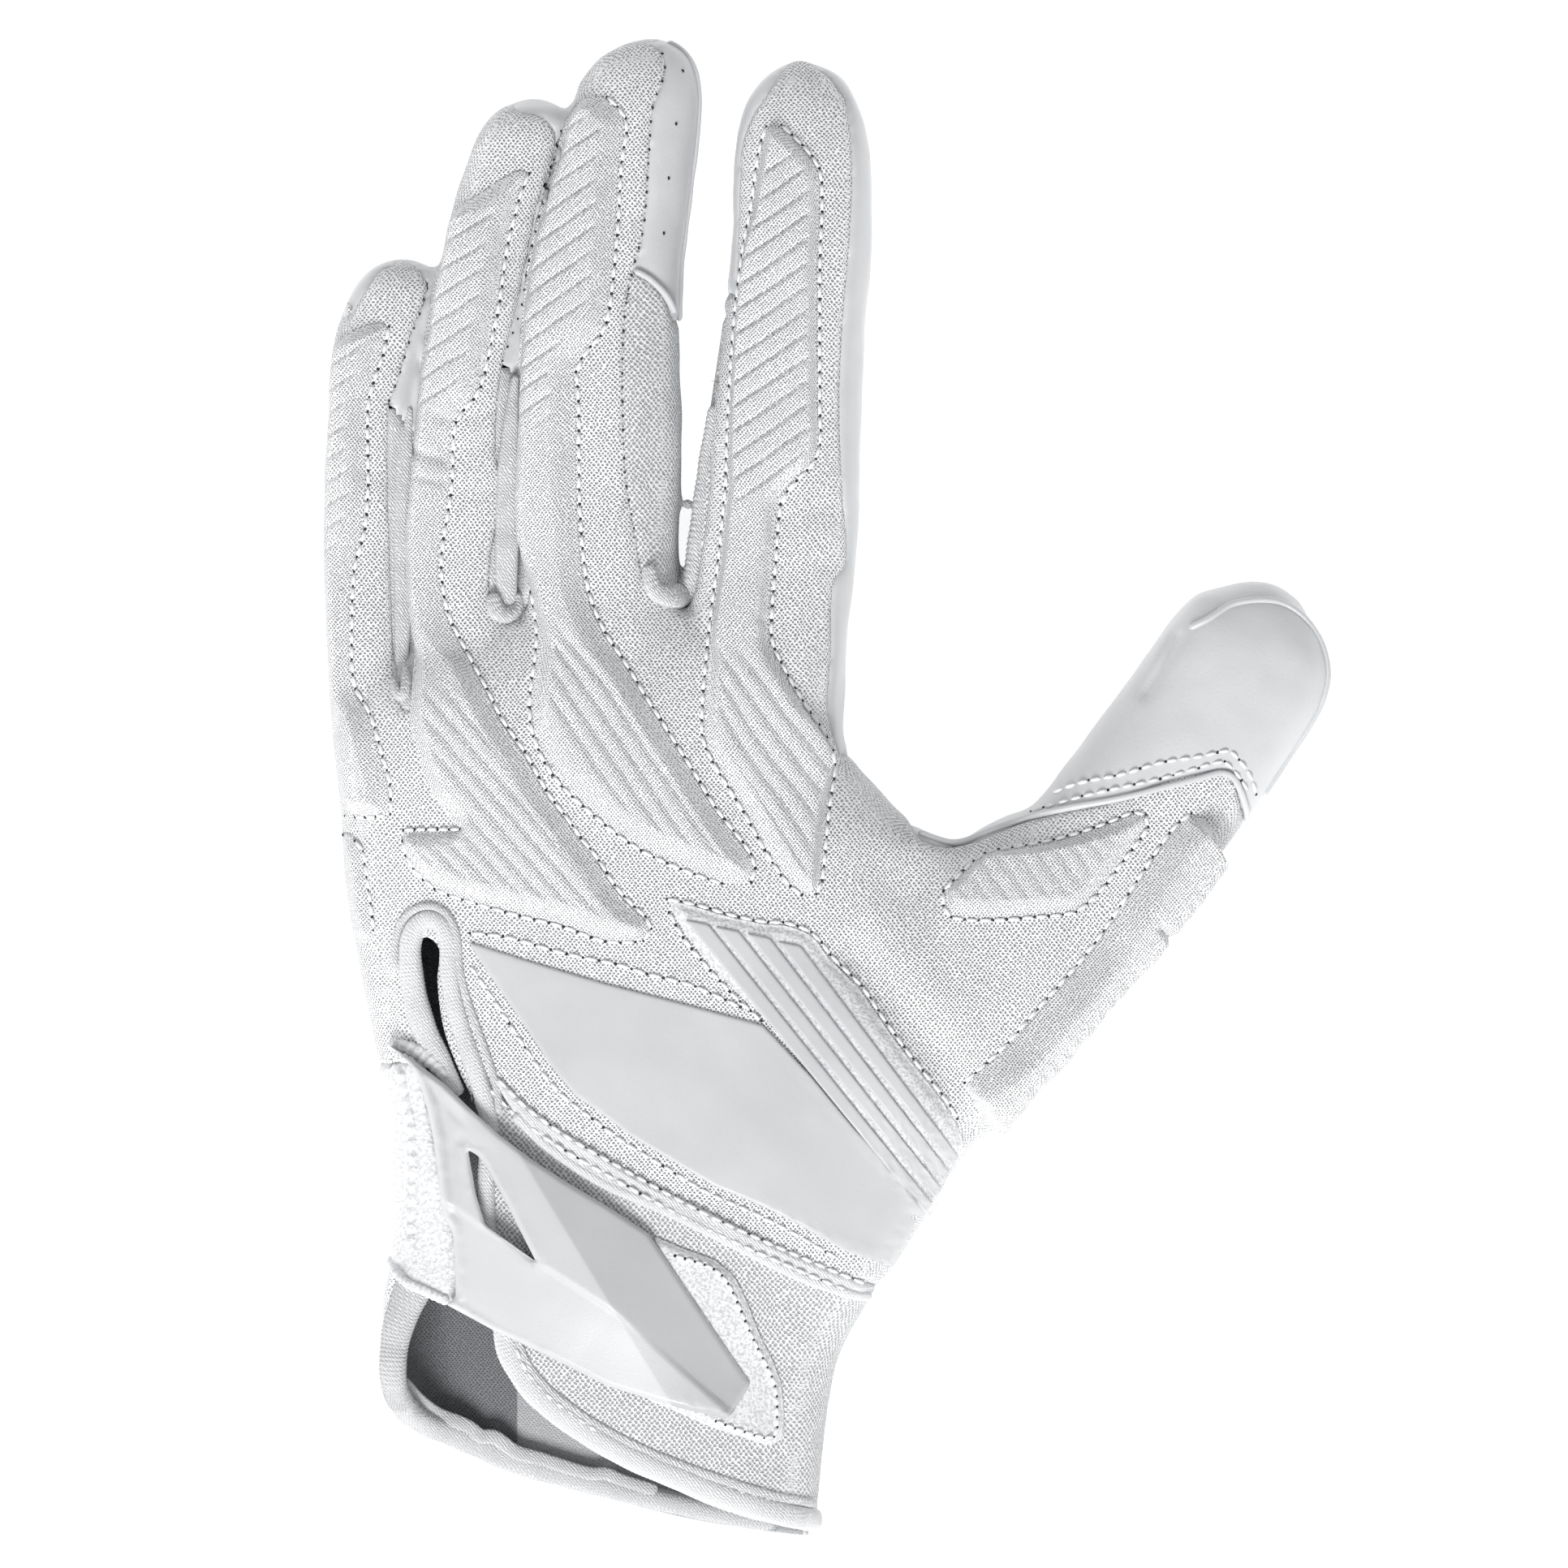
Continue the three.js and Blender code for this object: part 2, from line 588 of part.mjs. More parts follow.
addPiece("thumb_wrap", takePanel([[thumbWrapZone, below, sky]]), leatherWhite, 0.35);
addPiece(
  "palm_cuff",
  takePanel([[palmCuffZone, below, palmSeam], [sideWallZone, palmSeam - 1, sky]]),
  knitWhite,
  0.9,
);
const wholePlan = [[-95, -135], [95, -135], [95, 130], [-95, 130]];
addPiece(
  "palm_panel",
  takePanel([
    [wholePlan, below, palmSeam],
    [middleTipZone, palmSeam - 1, sky],
    [indexRimZone, palmSeam - 1, sky],
  ]),
  leatherWhite,
  0.35,
);
addPiece("fourchette_index_middle", takePanel([[indexFourchette, palmSeam, sky]]), knitWhite, 0.9);
addPiece("fourchette_middle_ring", takePanel([[middleFourchette, palmSeam, sky]]), knitWhite, 0.9);
addPiece("fourchette_ring_pinky", takePanel([[ringFourchette, palmSeam, sky]]), knitWhite, 0.9);
addPiece("strap_base", takePanel([[strapBaseZone, palmSeam, sky]]), knitWhite, 0.9);
addPiece("cuff_flap", takePanel([[cuffZone, palmSeam, sky]]), knitWhite, 0.9);
addPiece("back_panel", skin, knitWhite, 0.9);

// Pads over the fingers and knuckles
const fingerRibRuns = named(ribColumns, [
  [103, 67, 7, 38, 0.8, 1.6],
  [88, 64, 6, 38, 0.8, 1.6],
  [66, 38, 6, 38, 0.8, 1.2],
  [94, 53, 8, 38, 1.2, 1.6],
]);
const middleRibs = [
  ...ribOutlines(middlePadBands, fingerRibRuns[0]),
  ...knuckleRibs([-36.5, 22], THREE.MathUtils.degToRad(-58), 34, 3, 2.8, 1.2),
];
const ringRibs = [
  ...ribOutlines(ringPadBands, fingerRibRuns[1]),
  ...knuckleRibs([-60, 12], THREE.MathUtils.degToRad(-50), 38, 3, 3, 1.2),
];
const indexRibs = [
  ...ribOutlines(indexPadBands, fingerRibRuns[3]),
  ...knuckleRibs([-11.5, 19], THREE.MathUtils.degToRad(-60), 26, 3, 2.4, 1),
];
addPiece("middle_pad", ribbedPad(bandOutline(middlePadBands), middleRibs), padWhite, 0.9);
addPiece("ring_pad", ribbedPad(bandOutline(ringPadBands), ringRibs), padWhite, 0.9);
addPiece(
  "pinky_pad",
  ribbedPad(bandOutline(pinkyPadBands), ribOutlines(pinkyPadBands, fingerRibRuns[2])),
  padWhite,
  0.9,
);
addPiece("index_pad", ribbedPad(bandOutline(indexPadBands), indexRibs), padWhite, 0.9);
addPiece("side_pad", onForm(bandOutline(sidePadBands), gap, padHeight), padWhite, 0.9);
const thumbPadRibs = knuckleRibs([24, -10], THREE.MathUtils.degToRad(-58), 14, 5, -4.6, 1.8);
addPiece("thumb_pad", ribbedPad(thumbPadOutline, thumbPadRibs), padWhite, 0.9);
addPiece("thumb_edge_pad", onForm(thumbEdgeOutline, gap, padHeight + 1), padWhite, 0.9);

// Rolled twill over the crotch between each two fingers
addPiece("web_binding_index_middle", onForm(indexWebOutline, gap, tapeHeight, slitFloor + 4), twillWhite, 0.85);
addPiece("web_binding_middle_ring", onForm(middleWebOutline, gap, tapeHeight, slitFloor + 2), twillWhite, 0.85);
addPiece("web_binding_ring_pinky", onForm(ringWebOutline, gap, tapeHeight, slitFloor), twillWhite, 0.85);

// Rubber plate, its ribs and the stitched tape over the wrist seam
addPiece("back_plate", onForm(plateOutline, gap, plateHeight), rubberWhite, 0.4);
addPiece("rib_field", onForm(ribFieldOutline, gap, ribBaseHeight), knitWhite, 0.9);
rubberRibOutlines.forEach((outline, i) => {
  addPiece(`rubber_rib_${i + 1}`, onForm(outline, ribBaseHeight + 2 * gap, rubberRibHeight), rubberWhite, 0.4);
});
addPiece("seam_tape", onForm(tapeOutline, gap, tapeHeight), leatherWhite, 0.5);

// Wrist strap with its window, and the hook patch under its tip
addPiece("hook_patch", onForm(hookPatchOutline, gap, tapeHeight), knitWhite, 1);
const strapSolid = onForm(strapOutline, strapLow, strapHigh, sideWallTop - 6);
addPiece("strap_tab", strapSolid.subtract(prism(windowOutline, slitFloor, sky)), rubberWhite, 0.35);

export default glove;
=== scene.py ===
import bpy
import json
import math
import random
import numpy as np
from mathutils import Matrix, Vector, noise
from mathutils.bvhtree import BVHTree
from mathutils.geometry import delaunay_2d_cdt
from mathutils.kdtree import KDTree

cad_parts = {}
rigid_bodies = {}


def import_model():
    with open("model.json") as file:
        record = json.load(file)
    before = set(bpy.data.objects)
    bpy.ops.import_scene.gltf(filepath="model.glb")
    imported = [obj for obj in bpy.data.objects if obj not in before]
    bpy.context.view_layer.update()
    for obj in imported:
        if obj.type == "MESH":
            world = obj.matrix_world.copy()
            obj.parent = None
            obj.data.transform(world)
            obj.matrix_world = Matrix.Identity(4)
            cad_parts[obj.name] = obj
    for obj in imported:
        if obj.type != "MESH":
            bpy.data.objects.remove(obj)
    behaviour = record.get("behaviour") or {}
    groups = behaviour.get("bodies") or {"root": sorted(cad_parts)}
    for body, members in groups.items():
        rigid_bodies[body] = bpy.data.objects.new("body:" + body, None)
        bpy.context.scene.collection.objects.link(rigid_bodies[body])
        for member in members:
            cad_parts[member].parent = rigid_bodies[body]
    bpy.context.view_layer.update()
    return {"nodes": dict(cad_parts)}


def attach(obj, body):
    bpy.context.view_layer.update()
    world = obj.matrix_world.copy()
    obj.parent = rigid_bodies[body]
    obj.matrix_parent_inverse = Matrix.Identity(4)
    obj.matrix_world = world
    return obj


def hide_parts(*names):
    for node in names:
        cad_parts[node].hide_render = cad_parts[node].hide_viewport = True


# Football glove for the left hand, palm down, fingers towards +Y and thumb towards +X.
# Lengths are millimetres here and become metres when a mesh is made.

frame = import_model()
random.seed(7)
mm = 0.001

print(len(frame["nodes"]), "nodes in the frame")


# Small tools for lines and meshes

def curveThrough(rows, step, closed=False):
    # A smooth line through rows of numbers, as given control points
    pts = np.array(rows, float)
    count = len(pts)
    spans = count if closed else count - 1
    out = []
    for i in range(spans):
        if closed:
            p0, p1, p2, p3 = (pts[(i + k) % count] for k in (-1, 0, 1, 2))
        else:
            p0, p1, p2, p3 = pts[max(i - 1, 0)], pts[i], pts[i + 1], pts[min(i + 2, count - 1)]
        span = max(np.linalg.norm(p2 - p1), 1e-6)
        before = max(np.linalg.norm(p1 - p0), 1e-6) ** 0.6
        here = span ** 0.6
        after = max(np.linalg.norm(p3 - p2), 1e-6) ** 0.6
        atEndA = not closed and i == 0
        atEndB = not closed and i == spans - 1
        slopeA = (p2 - p1) / here if atEndA else (p2 - p0) / (before + here)
        slopeB = (p2 - p1) / here if atEndB else (p3 - p1) / (here + after)
        steps = max(1, int(math.ceil(span / step)))
        for t in np.arange(steps) / steps:
            h00, h10 = 2 * t**3 - 3 * t**2 + 1, t**3 - 2 * t**2 + t
            h01, h11 = 3 * t**2 - 2 * t**3, t**3 - t**2
            out.append(h00 * p1 + h10 * here * slopeA + h01 * p2 + h11 * here * slopeB)
    if not closed:
        out.append(pts[-1])
    return np.array(out)


def cornered(rows, step, soft=3):
    # A closed outline of straight runs with its corners eased
    pts = np.array(rows, float)
    out = []
    for i in range(len(pts)):
        a, b = pts[i], pts[(i + 1) % len(pts)]
        steps = max(1, int(round(np.linalg.norm(b - a) / step)))
        out += [a + (b - a) * k / steps for k in range(steps)]
    line = np.array(out)
    for _ in range(soft):
        line = (np.roll(line, 1, 0) + 2 * line + np.roll(line, -1, 0)) / 4
    return line


def leftSide(rows):
    return [(r[1], r[0]) for r in rows]


def rightSide(rows):
    return [(r[2], r[0]) for r in rows]


def bandOutline(rows, step):
    # The outline of a pad from rows of y, left and right
    return curveThrough(leftSide(rows) + rightSide(rows)[::-1], step, True)


def inside(points, outline):
    # Which points lie inside an outline, seen from above
    x, y = points[:, 0], points[:, 1]
    within = np.zeros(len(points), bool)
    near = (x >= outline[:, 0].min()) & (x <= outline[:, 0].max())
    near &= (y >= outline[:, 1].min()) & (y <= outline[:, 1].max())
    index = np.nonzero(near)[0]
    px, py = x[index], y[index]
    hit = np.zeros(len(index), bool)
    previous = outline[-1]
    for corner in outline:
        rise = previous[1] - corner[1]
        if abs(rise) > 1e-9:
            crosses = (corner[1] > py) != (previous[1] > py)
            at = (previous[0] - corner[0]) * (py - corner[1]) / rise + corner[0]
            hit ^= crosses & (px < at)
        previous = corner
    within[index] = hit
    return within


def treeOf(points):
    tree = KDTree(len(points))
    for i, p in enumerate(points):
        tree.insert((p[0], p[1], p[2] if len(p) > 2 else 0.0), i)
    tree.balance()
    return tree


def distanceTo(points, line, flat=True):
    # Distance from each point to a line of points
    tree = treeOf(line)
    if flat:
        return np.array([tree.find((p[0], p[1], 0.0))[2] for p in points])
    return np.array([tree.find(p)[2] for p in points])


def ease(value, low, high):
    t = np.clip((value - low) / (high - low), 0, 1)
    return t * t * (3 - 2 * t)


def borderOf(faces):
    # Points on the open border of a patch, and its edges in order of the faces
    following = np.roll(faces, -1, 1)
    pairs = np.stack([faces.T.ravel(), following.T.ravel()], 1)
    keys = np.sort(pairs, 1)
    _, first, counts = np.unique(keys, axis=0, return_index=True, return_counts=True)
    rim = pairs[first[counts == 1]]
    return np.unique(rim), rim


def newMesh(name, points, faces, inner=0, smooth=True):
    # Makes an object from points in millimetres. The last `inner` faces take the second material.
    mesh = bpy.data.meshes.new(name)
    mesh.from_pydata((np.asarray(points) * mm).tolist(), [], [list(map(int, f)) for f in faces])
    mesh.validate()
    if smooth:
        mesh.polygons.foreach_set("use_smooth", [True] * len(mesh.polygons))
    if inner:
        marks = np.zeros(len(mesh.polygons), int)
        marks[-inner:] = 1
        mesh.polygons.foreach_set("material_index", marks)
    mesh.update()
    obj = bpy.data.objects.new(name, mesh)
    bpy.context.scene.collection.objects.link(obj)
    return obj


def meshArrays(obj):
    # Points, normals and equal-sided faces of an object, in millimetres
    mesh = obj.data
    points = np.empty(len(mesh.vertices) * 3)
    mesh.vertices.foreach_get("co", points)
    normals = np.empty(len(mesh.vertices) * 3)
    mesh.vertices.foreach_get("normal", normals)
    faces = np.array([list(p.vertices) for p in mesh.polygons if len(p.vertices) == 4])
    return points.reshape(-1, 3) / mm, normals.reshape(-1, 3), faces


def pointNormals(points, faces):
    # Normals worked out from the faces round each point
    a, b = points[faces[:, 0]], points[faces[:, 1]]
    c = points[faces[:, 2]]
    last = points[faces[:, -1]]
    cross = np.cross(c - a, last - b) if faces.shape[1] == 4 else np.cross(b - a, c - a)
    normals = np.zeros_like(points)
    for k in range(faces.shape[1]):
        np.add.at(normals, faces[:, k], cross)
    return normals / np.maximum(np.linalg.norm(normals, axis=1, keepdims=True), 1e-9)


def deselectAll():
    for other in list(bpy.context.selected_objects):
        other.select_set(False)


def applyModifiers(obj):
    deselectAll()
    bpy.context.view_layer.objects.active = obj
    obj.select_set(True)
    for modifier in list(obj.modifiers):
        bpy.ops.object.modifier_apply(modifier=modifier.name)
    obj.select_set(False)


# Camera, lights and floor

# The camera hangs over the middle, in millimetres. Lights and floor are in metres.
view = {
    "middle": (-7.3, 0.3), "height": 5018.0,
    "lens": 703.0, "sensor": 36, "nearest": 0.05, "farthest": 30,
}
light = {
    "key": {"place": (-0.32, -1.46, 1.93), "power": 55.0, "size": 0.9},
    "fill": {"place": (-1.75, -0.35, 1.5), "power": 4.0, "size": 1.2},
    "skyColour": (0.97, 0.985, 1.0, 1), "skyStrength": 0.48,
}
paper = {"size": 8.0, "colour": 0.8, "glow": 0.6}

deselectAll()
bpy.ops.object.camera_add(location=(view["middle"][0] * mm, view["middle"][1] * mm, view["height"] * mm))
camera = bpy.context.object
camera.name = "camera"
camera.rotation_euler = (0, 0, 0)
camera.data.lens = view["lens"]
camera.data.sensor_width = view["sensor"]
camera.data.clip_start = view["nearest"]
camera.data.clip_end = view["farthest"]
bpy.context.scene.camera = camera

for name in ("key", "fill"):
    bpy.ops.object.light_add(type="AREA", location=light[name]["place"])
    lamp = bpy.context.object
    lamp.name = name
    lamp.rotation_euler = Vector(light[name]["place"]).to_track_quat("Z", "Y").to_euler()
    lamp.data.energy = light[name]["power"]
    lamp.data.size = light[name]["size"]

world = bpy.data.worlds.new("studio")
world.use_nodes = True
sky = world.node_tree.nodes["Background"]
sky.inputs["Color"].default_value = light["skyColour"]
sky.inputs["Strength"].default_value = light["skyStrength"]
bpy.context.scene.world = world
bpy.context.scene.view_settings.view_transform = "Standard"
print("camera and lights placed")


# Materials

def newMaterial(name):
    material = bpy.data.materials.new(name)
    material.use_nodes = True
    return material, material.node_tree, material.node_tree.nodes["Principled BSDF"]


def add(tree, kind, **settings):
    node = tree.nodes.new(kind)
    for key, value in settings.items():
        setattr(node, key, value)
    return node


def compute(tree, operation, a, b=None, c=None):
    node = add(tree, "ShaderNodeMath", operation=operation)
    for i, value in enumerate((a, b, c)):
        if value is None:
            continue
        if isinstance(value, (int, float)):
            node.inputs[i].default_value = value
        else:
            tree.links.new(value, node.inputs[i])
    return node.outputs[0]


def vec(tree, operation, a, b=None):
    node = add(tree, "ShaderNodeVectorMath", operation=operation)
    for i, value in enumerate((a, b)):
        if value is None:
            continue
        if isinstance(value, tuple):
            node.inputs[i].default_value = value
        elif isinstance(value, (int, float)):
            node.inputs["Scale"].default_value = value
        else:
            tree.links.new(value, node.inputs[i])
    return node.outputs["Value"] if operation == "LENGTH" else node.outputs["Vector"]


def smoothRange(tree, value, low, high, fromValue=0.0, toValue=1.0):
    node = add(tree, "ShaderNodeMapRange", interpolation_type="SMOOTHSTEP")
    tree.links.new(value, node.inputs["Value"])
    node.inputs["From Min"].default_value = low
    node.inputs["From Max"].default_value = high
    node.inputs["To Min"].default_value = fromValue
    node.inputs["To Max"].default_value = toValue
    return node.outputs["Result"]


def mixColours(tree, factor, a, b):
    node = add(tree, "ShaderNodeMix", data_type="RGBA")
    tree.links.new(factor, node.inputs["Factor"])
    for socket, value in ((node.inputs[6], a), (node.inputs[7], b)):
        socket.default_value = (*value, 1)
    return node.outputs[2]


def ramp(tree, value, low, high, fromColour, toColour):
    return mixColours(tree, smoothRange(tree, value, low, high), fromColour, toColour)


def patternGroup(name, build):
    # A node group from a flat position in millimetres to a height from 0 to 1
    group = bpy.data.node_groups.new(name, "ShaderNodeTree")
    group.interface.new_socket("Position", in_out="INPUT", socket_type="NodeSocketVector")
    group.interface.new_socket("Height", in_out="OUTPUT", socket_type="NodeSocketFloat")
    start = group.nodes.new("NodeGroupInput")
    end = group.nodes.new("NodeGroupOutput")
    group.links.new(build(group, start.outputs["Position"]), end.inputs["Height"])
    return group


def holeLattice(width, height, small, large):
    # Small holes in rows that stand between each other, as in a knitted mesh
    def build(tree, position):
        grid = vec(tree, "DIVIDE", position, (width, height, 1.0))
        reaches = []
        for shift in (0.0, 0.5):
            moved = vec(tree, "ADD", grid, (shift, shift, 0.0))
            cell = vec(tree, "SUBTRACT", vec(tree, "FRACTION", moved), (0.5, 0.5, 0.0))
            flat = vec(tree, "MULTIPLY", cell, (width, height, 0.0))
            reaches.append(vec(tree, "LENGTH", flat))
        nearest = compute(tree, "MINIMUM", reaches[0], reaches[1])
        return smoothRange(tree, nearest, small, large)
    return build


def twillLines(pitch, slope):
    def build(tree, position):
        parts = add(tree, "ShaderNodeSeparateXYZ")
        tree.links.new(position, parts.inputs[0])
        turns = 2 * math.pi / pitch
        along = compute(tree, "MULTIPLY_ADD", parts.outputs["Y"], slope, parts.outputs["X"])
        wave = compute(tree, "SINE", compute(tree, "MULTIPLY", along, turns))
        cross = compute(tree, "SINE", compute(tree, "MULTIPLY", parts.outputs["Y"], turns))
        mixed = compute(tree, "MULTIPLY_ADD", cross, 0.35, wave)
        return smoothRange(tree, mixed, -1.2, 1.2)
    return build


weaves = {
    "mesh": patternGroup("mesh", holeLattice(0.72, 0.86, 0.06, 0.25)),
    "fine": patternGroup("fine", holeLattice(0.6, 0.7, 0.05, 0.22)),
    "coarse": patternGroup("coarse", holeLattice(0.86, 1.0, 0.12, 0.34)),
    "twill": patternGroup("twill", twillLines(0.55, 0.8)),
}


def placeInMm(tree):
    place = add(tree, "ShaderNodeTexCoord")
    return vec(tree, "SCALE", place.outputs["Object"], 1000.0)


def noiseField(tree, position, size, detail=2.0, output="Fac"):
    field = add(tree, "ShaderNodeTexNoise")
    field.inputs["Scale"].default_value = 1 / size
    field.inputs["Detail"].default_value = detail
    tree.links.new(position, field.inputs["Vector"])
    return field.outputs[output]


def wander(tree, position, size, reach):
    # A shift to and fro that changes over the given size
    swing = vec(tree, "SUBTRACT", noiseField(tree, position, size, 1.0, "Color"), (0.5, 0.5, 0.5))
    return vec(tree, "SCALE", swing, reach)


def wrappedPattern(tree, weave):
    # The pattern laid on from above, from the side and from the end, joined by the surface's direction.
    # It drifts slowly, and each loop of the knit sits a little off its place.
    inMm = placeInMm(tree)
    moved = vec(tree, "ADD", inMm, wander(tree, inMm, 6.0, 1.2))
    moved = vec(tree, "ADD", moved, wander(tree, inMm, 1 / 1.2, 0.55))
    parts = add(tree, "ShaderNodeSeparateXYZ")
    tree.links.new(moved, parts.inputs[0])
    facing = add(tree, "ShaderNodeSeparateXYZ")
    geometry = add(tree, "ShaderNodeNewGeometry")
    tree.links.new(geometry.outputs["Normal"], facing.inputs[0])
    total, weights = None, None
    for across, along, normal in (("X", "Y", "Z"), ("Z", "Y", "X"), ("X", "Z", "Y")):
        flat = add(tree, "ShaderNodeCombineXYZ")
        tree.links.new(parts.outputs[across], flat.inputs["X"])
        tree.links.new(parts.outputs[along], flat.inputs["Y"])
        cloth = add(tree, "ShaderNodeGroup", node_tree=weaves[weave])
        tree.links.new(flat.outputs[0], cloth.inputs["Position"])
        share = compute(tree, "POWER", compute(tree, "ABSOLUTE", facing.outputs[normal]), 7.0)
        part = compute(tree, "MULTIPLY", cloth.outputs["Height"], share)
        total = part if total is None else compute(tree, "ADD", total, part)
        weights = share if weights is None else compute(tree, "ADD", weights, share)
    return compute(tree, "DIVIDE", total, weights), inMm


def addBump(tree, shader, height, distance):
    bump = add(tree, "ShaderNodeBump")
    bump.inputs["Distance"].default_value = distance * mm
    tree.links.new(height, bump.inputs["Height"])
    tree.links.new(bump.outputs["Normal"], shader.inputs["Normal"])


def tintBase(tree, shader, colour, tone):
    # The base colour, made a little darker in places
    shade = add(tree, "ShaderNodeVectorMath", operation="SCALE")
    if isinstance(colour, tuple):
        shade.inputs[0].default_value = colour
    else:
        tree.links.new(colour, shade.inputs[0])
    tree.links.new(tone, shade.inputs["Scale"])
    tree.links.new(shade.outputs["Vector"], shader.inputs["Base Color"])


def paleGrey(level):
    # A hint of blue, as bleached cloth and rubber have
    return (level, level + 0.005, level + 0.015)


def clothMaterial(name, weave, thread, hole, depth, roughness=0.85, sheen=0.3, beyond=None):
    material, tree, shader = newMaterial(name)
    height, inMm = wrappedPattern(tree, weave)
    colour = ramp(tree, height, 0.05, 0.85, paleGrey(hole), paleGrey(thread))
    if beyond is not None:
        # A lighter and plainer cloth from this X on
        parts = add(tree, "ShaderNodeSeparateXYZ")
        tree.links.new(inMm, parts.inputs[0])
        share = smoothRange(tree, parts.outputs["X"], beyond - 0.2, beyond + 0.2)
        joint = add(tree, "ShaderNodeMix", data_type="RGBA")
        tree.links.new(share, joint.inputs["Factor"])
        tree.links.new(colour, joint.inputs[6])
        joint.inputs[7].default_value = (*paleGrey(0.5), 1)
        colour = joint.outputs[2]
    tintBase(tree, shader, colour, smoothRange(tree, noiseField(tree, inMm, 9.0), 0.3, 0.7, 0.95, 1.0))
    fibre = noiseField(tree, inMm, 0.22)
    rough = compute(tree, "MULTIPLY_ADD", fibre, 0.3, height)
    addBump(tree, shader, rough, depth)
    shader.inputs["Roughness"].default_value = roughness
    shader.inputs["Sheen Weight"].default_value = sheen
    shader.inputs["Sheen Roughness"].default_value = 0.5
    shader.inputs["Specular IOR Level"].default_value = 0.25
    return material


def leatherMaterial(name, level, roughness, grain, depth):
    material, tree, shader = newMaterial(name)
    inMm = placeInMm(tree)
    cells = add(tree, "ShaderNodeTexVoronoi", feature="F1")
    cells.inputs["Scale"].default_value = 1 / grain
    tree.links.new(inMm, cells.inputs["Vector"])
    pores = smoothRange(tree, cells.outputs["Distance"], 0.0, 0.5)
    folds = noiseField(tree, inMm, 7.0, 3.0)
    height = compute(tree, "MULTIPLY_ADD", folds, 3.0, pores)
    addBump(tree, shader, height, depth)
    tintBase(tree, shader, paleGrey(level), smoothRange(tree, folds, 0.3, 0.7, 0.96, 1.0))
    gloss = smoothRange(tree, folds, 0.35, 0.65, roughness - 0.05, roughness + 0.05)
    tree.links.new(gloss, shader.inputs["Roughness"])
    shader.inputs["Coat Weight"].default_value = 0.15
    shader.inputs["Coat Roughness"].default_value = 0.3
    return material


def rubberMaterial(name, level, roughness, crease=None):
    material, tree, shader = newMaterial(name)
    inMm = placeInMm(tree)
    haze = noiseField(tree, inMm, 14.0)
    dust = noiseField(tree, inMm, 0.35)
    tone = smoothRange(tree, haze, 0.3, 0.7, 0.965, 1.0)
    if crease is not None:
        # Beyond the crease the tip is made darker: painted shade for the facet that faces away from the
        # light
        beyond = add(tree, "ShaderNodeVectorMath", operation="DOT_PRODUCT")
        tree.links.new(inMm, beyond.inputs[0])
        beyond.inputs[1].default_value = (crease[0], crease[1], 0.0)
        tipShade = smoothRange(tree, beyond.outputs["Value"], crease[2] - 0.3, crease[2] + 0.3, 1.0, 0.83)
        tone = compute(tree, "MULTIPLY", tone, tipShade)
    tintBase(tree, shader, paleGrey(level), tone)
    addBump(tree, shader, dust, 0.02)
    gloss = smoothRange(tree, haze, 0.35, 0.65, roughness, roughness + 0.08)
    tree.links.new(gloss, shader.inputs["Roughness"])
    shader.inputs["Subsurface Weight"].default_value = 0.08
    shader.inputs["Subsurface Radius"].default_value = (1.0, 1.0, 1.0)
    shader.inputs["Subsurface Scale"].default_value = 0.001
    return material


def fuzzMaterial(name, tips, roots, size, depth):
    material, tree, shader = newMaterial(name)
    fuzz = noiseField(tree, placeInMm(tree), size, 3.0)
    colour = ramp(tree, fuzz, 0.35, 0.6, paleGrey(roots), paleGrey(tips))
    tree.links.new(colour, shader.inputs["Base Color"])
    addBump(tree, shader, fuzz, depth)
    shader.inputs["Roughness"].default_value = 0.9
    shader.inputs["Sheen Weight"].default_value = 0.4
    return material


def shadowDiscMaterial(name):
    # Near black: the painted shadow inside a needle hole or air hole
    material, tree, shader = newMaterial(name)
    speck = noiseField(tree, placeInMm(tree), 0.3)
    colour = ramp(tree, speck, 0.3, 0.7, (0.012, 0.012, 0.013), (0.05, 0.05, 0.054))
    tree.links.new(colour, shader.inputs["Base Color"])
    shader.inputs["Roughness"].default_value = 0.9
    return material


def floorMaterial(name):
    material, tree, shader = newMaterial(name)
    place = add(tree, "ShaderNodeTexCoord")
    grain = noiseField(tree, place.outputs["Object"], 0.02)
    level = paper["colour"]
    colour = ramp(tree, grain, 0.3, 0.7, (level,) * 3, (level + 0.01,) * 3)
    tree.links.new(colour, shader.inputs["Base Color"])
    shader.inputs["Roughness"].default_value = 0.9
    shader.inputs["Emission Color"].default_value = (1, 1, 1, 1)
    shader.inputs["Emission Strength"].default_value = paper["glow"]
    return material


# Weave, how light its threads and holes are, and how deep it is
knitBack = clothMaterial("knitBack", "mesh", 0.96, 0.34, 0.26)
knitPad = clothMaterial("knitPad", "fine", 0.96, 0.36, 0.2)
knitCoarse = clothMaterial("knitCoarse", "coarse", 0.88, 0.42, 0.2)
knitCuff = clothMaterial("knitCuff", "mesh", 0.96, 0.5, 0.16)
twill = clothMaterial("twill", "twill", 0.85, 0.55, 0.16)
ribTape = clothMaterial("ribTape", "twill", 0.83, 0.62, 0.08)
hemTape = clothMaterial("hemTape", "twill", 0.68, 0.5, 0.08)
# The inside of the glove: its own grey cloth, made much darker as painted shade. From x = -51 mm on it is
# lighter and plain.
liningShade = clothMaterial("liningShade", "fine", 0.24, 0.13, 0.1, sheen=0.0, beyond=-51.0)
thread = clothMaterial("thread", "twill", 0.98, 0.85, 0.04, roughness=0.6)
leather = leatherMaterial("leather", 0.65, 0.38, grain=0.7, depth=0.02)
rubber = rubberMaterial("rubber", 0.59, 0.36)
strapRubber = rubberMaterial("strapRubber", 0.6, 0.34, crease=(0.854, 0.52, -74.1))
hooks = fuzzMaterial("hooks", 0.8, 0.56, 0.5, 0.25)
boucle = fuzzMaterial("boucle", 0.84, 0.68, 0.7, 0.4)
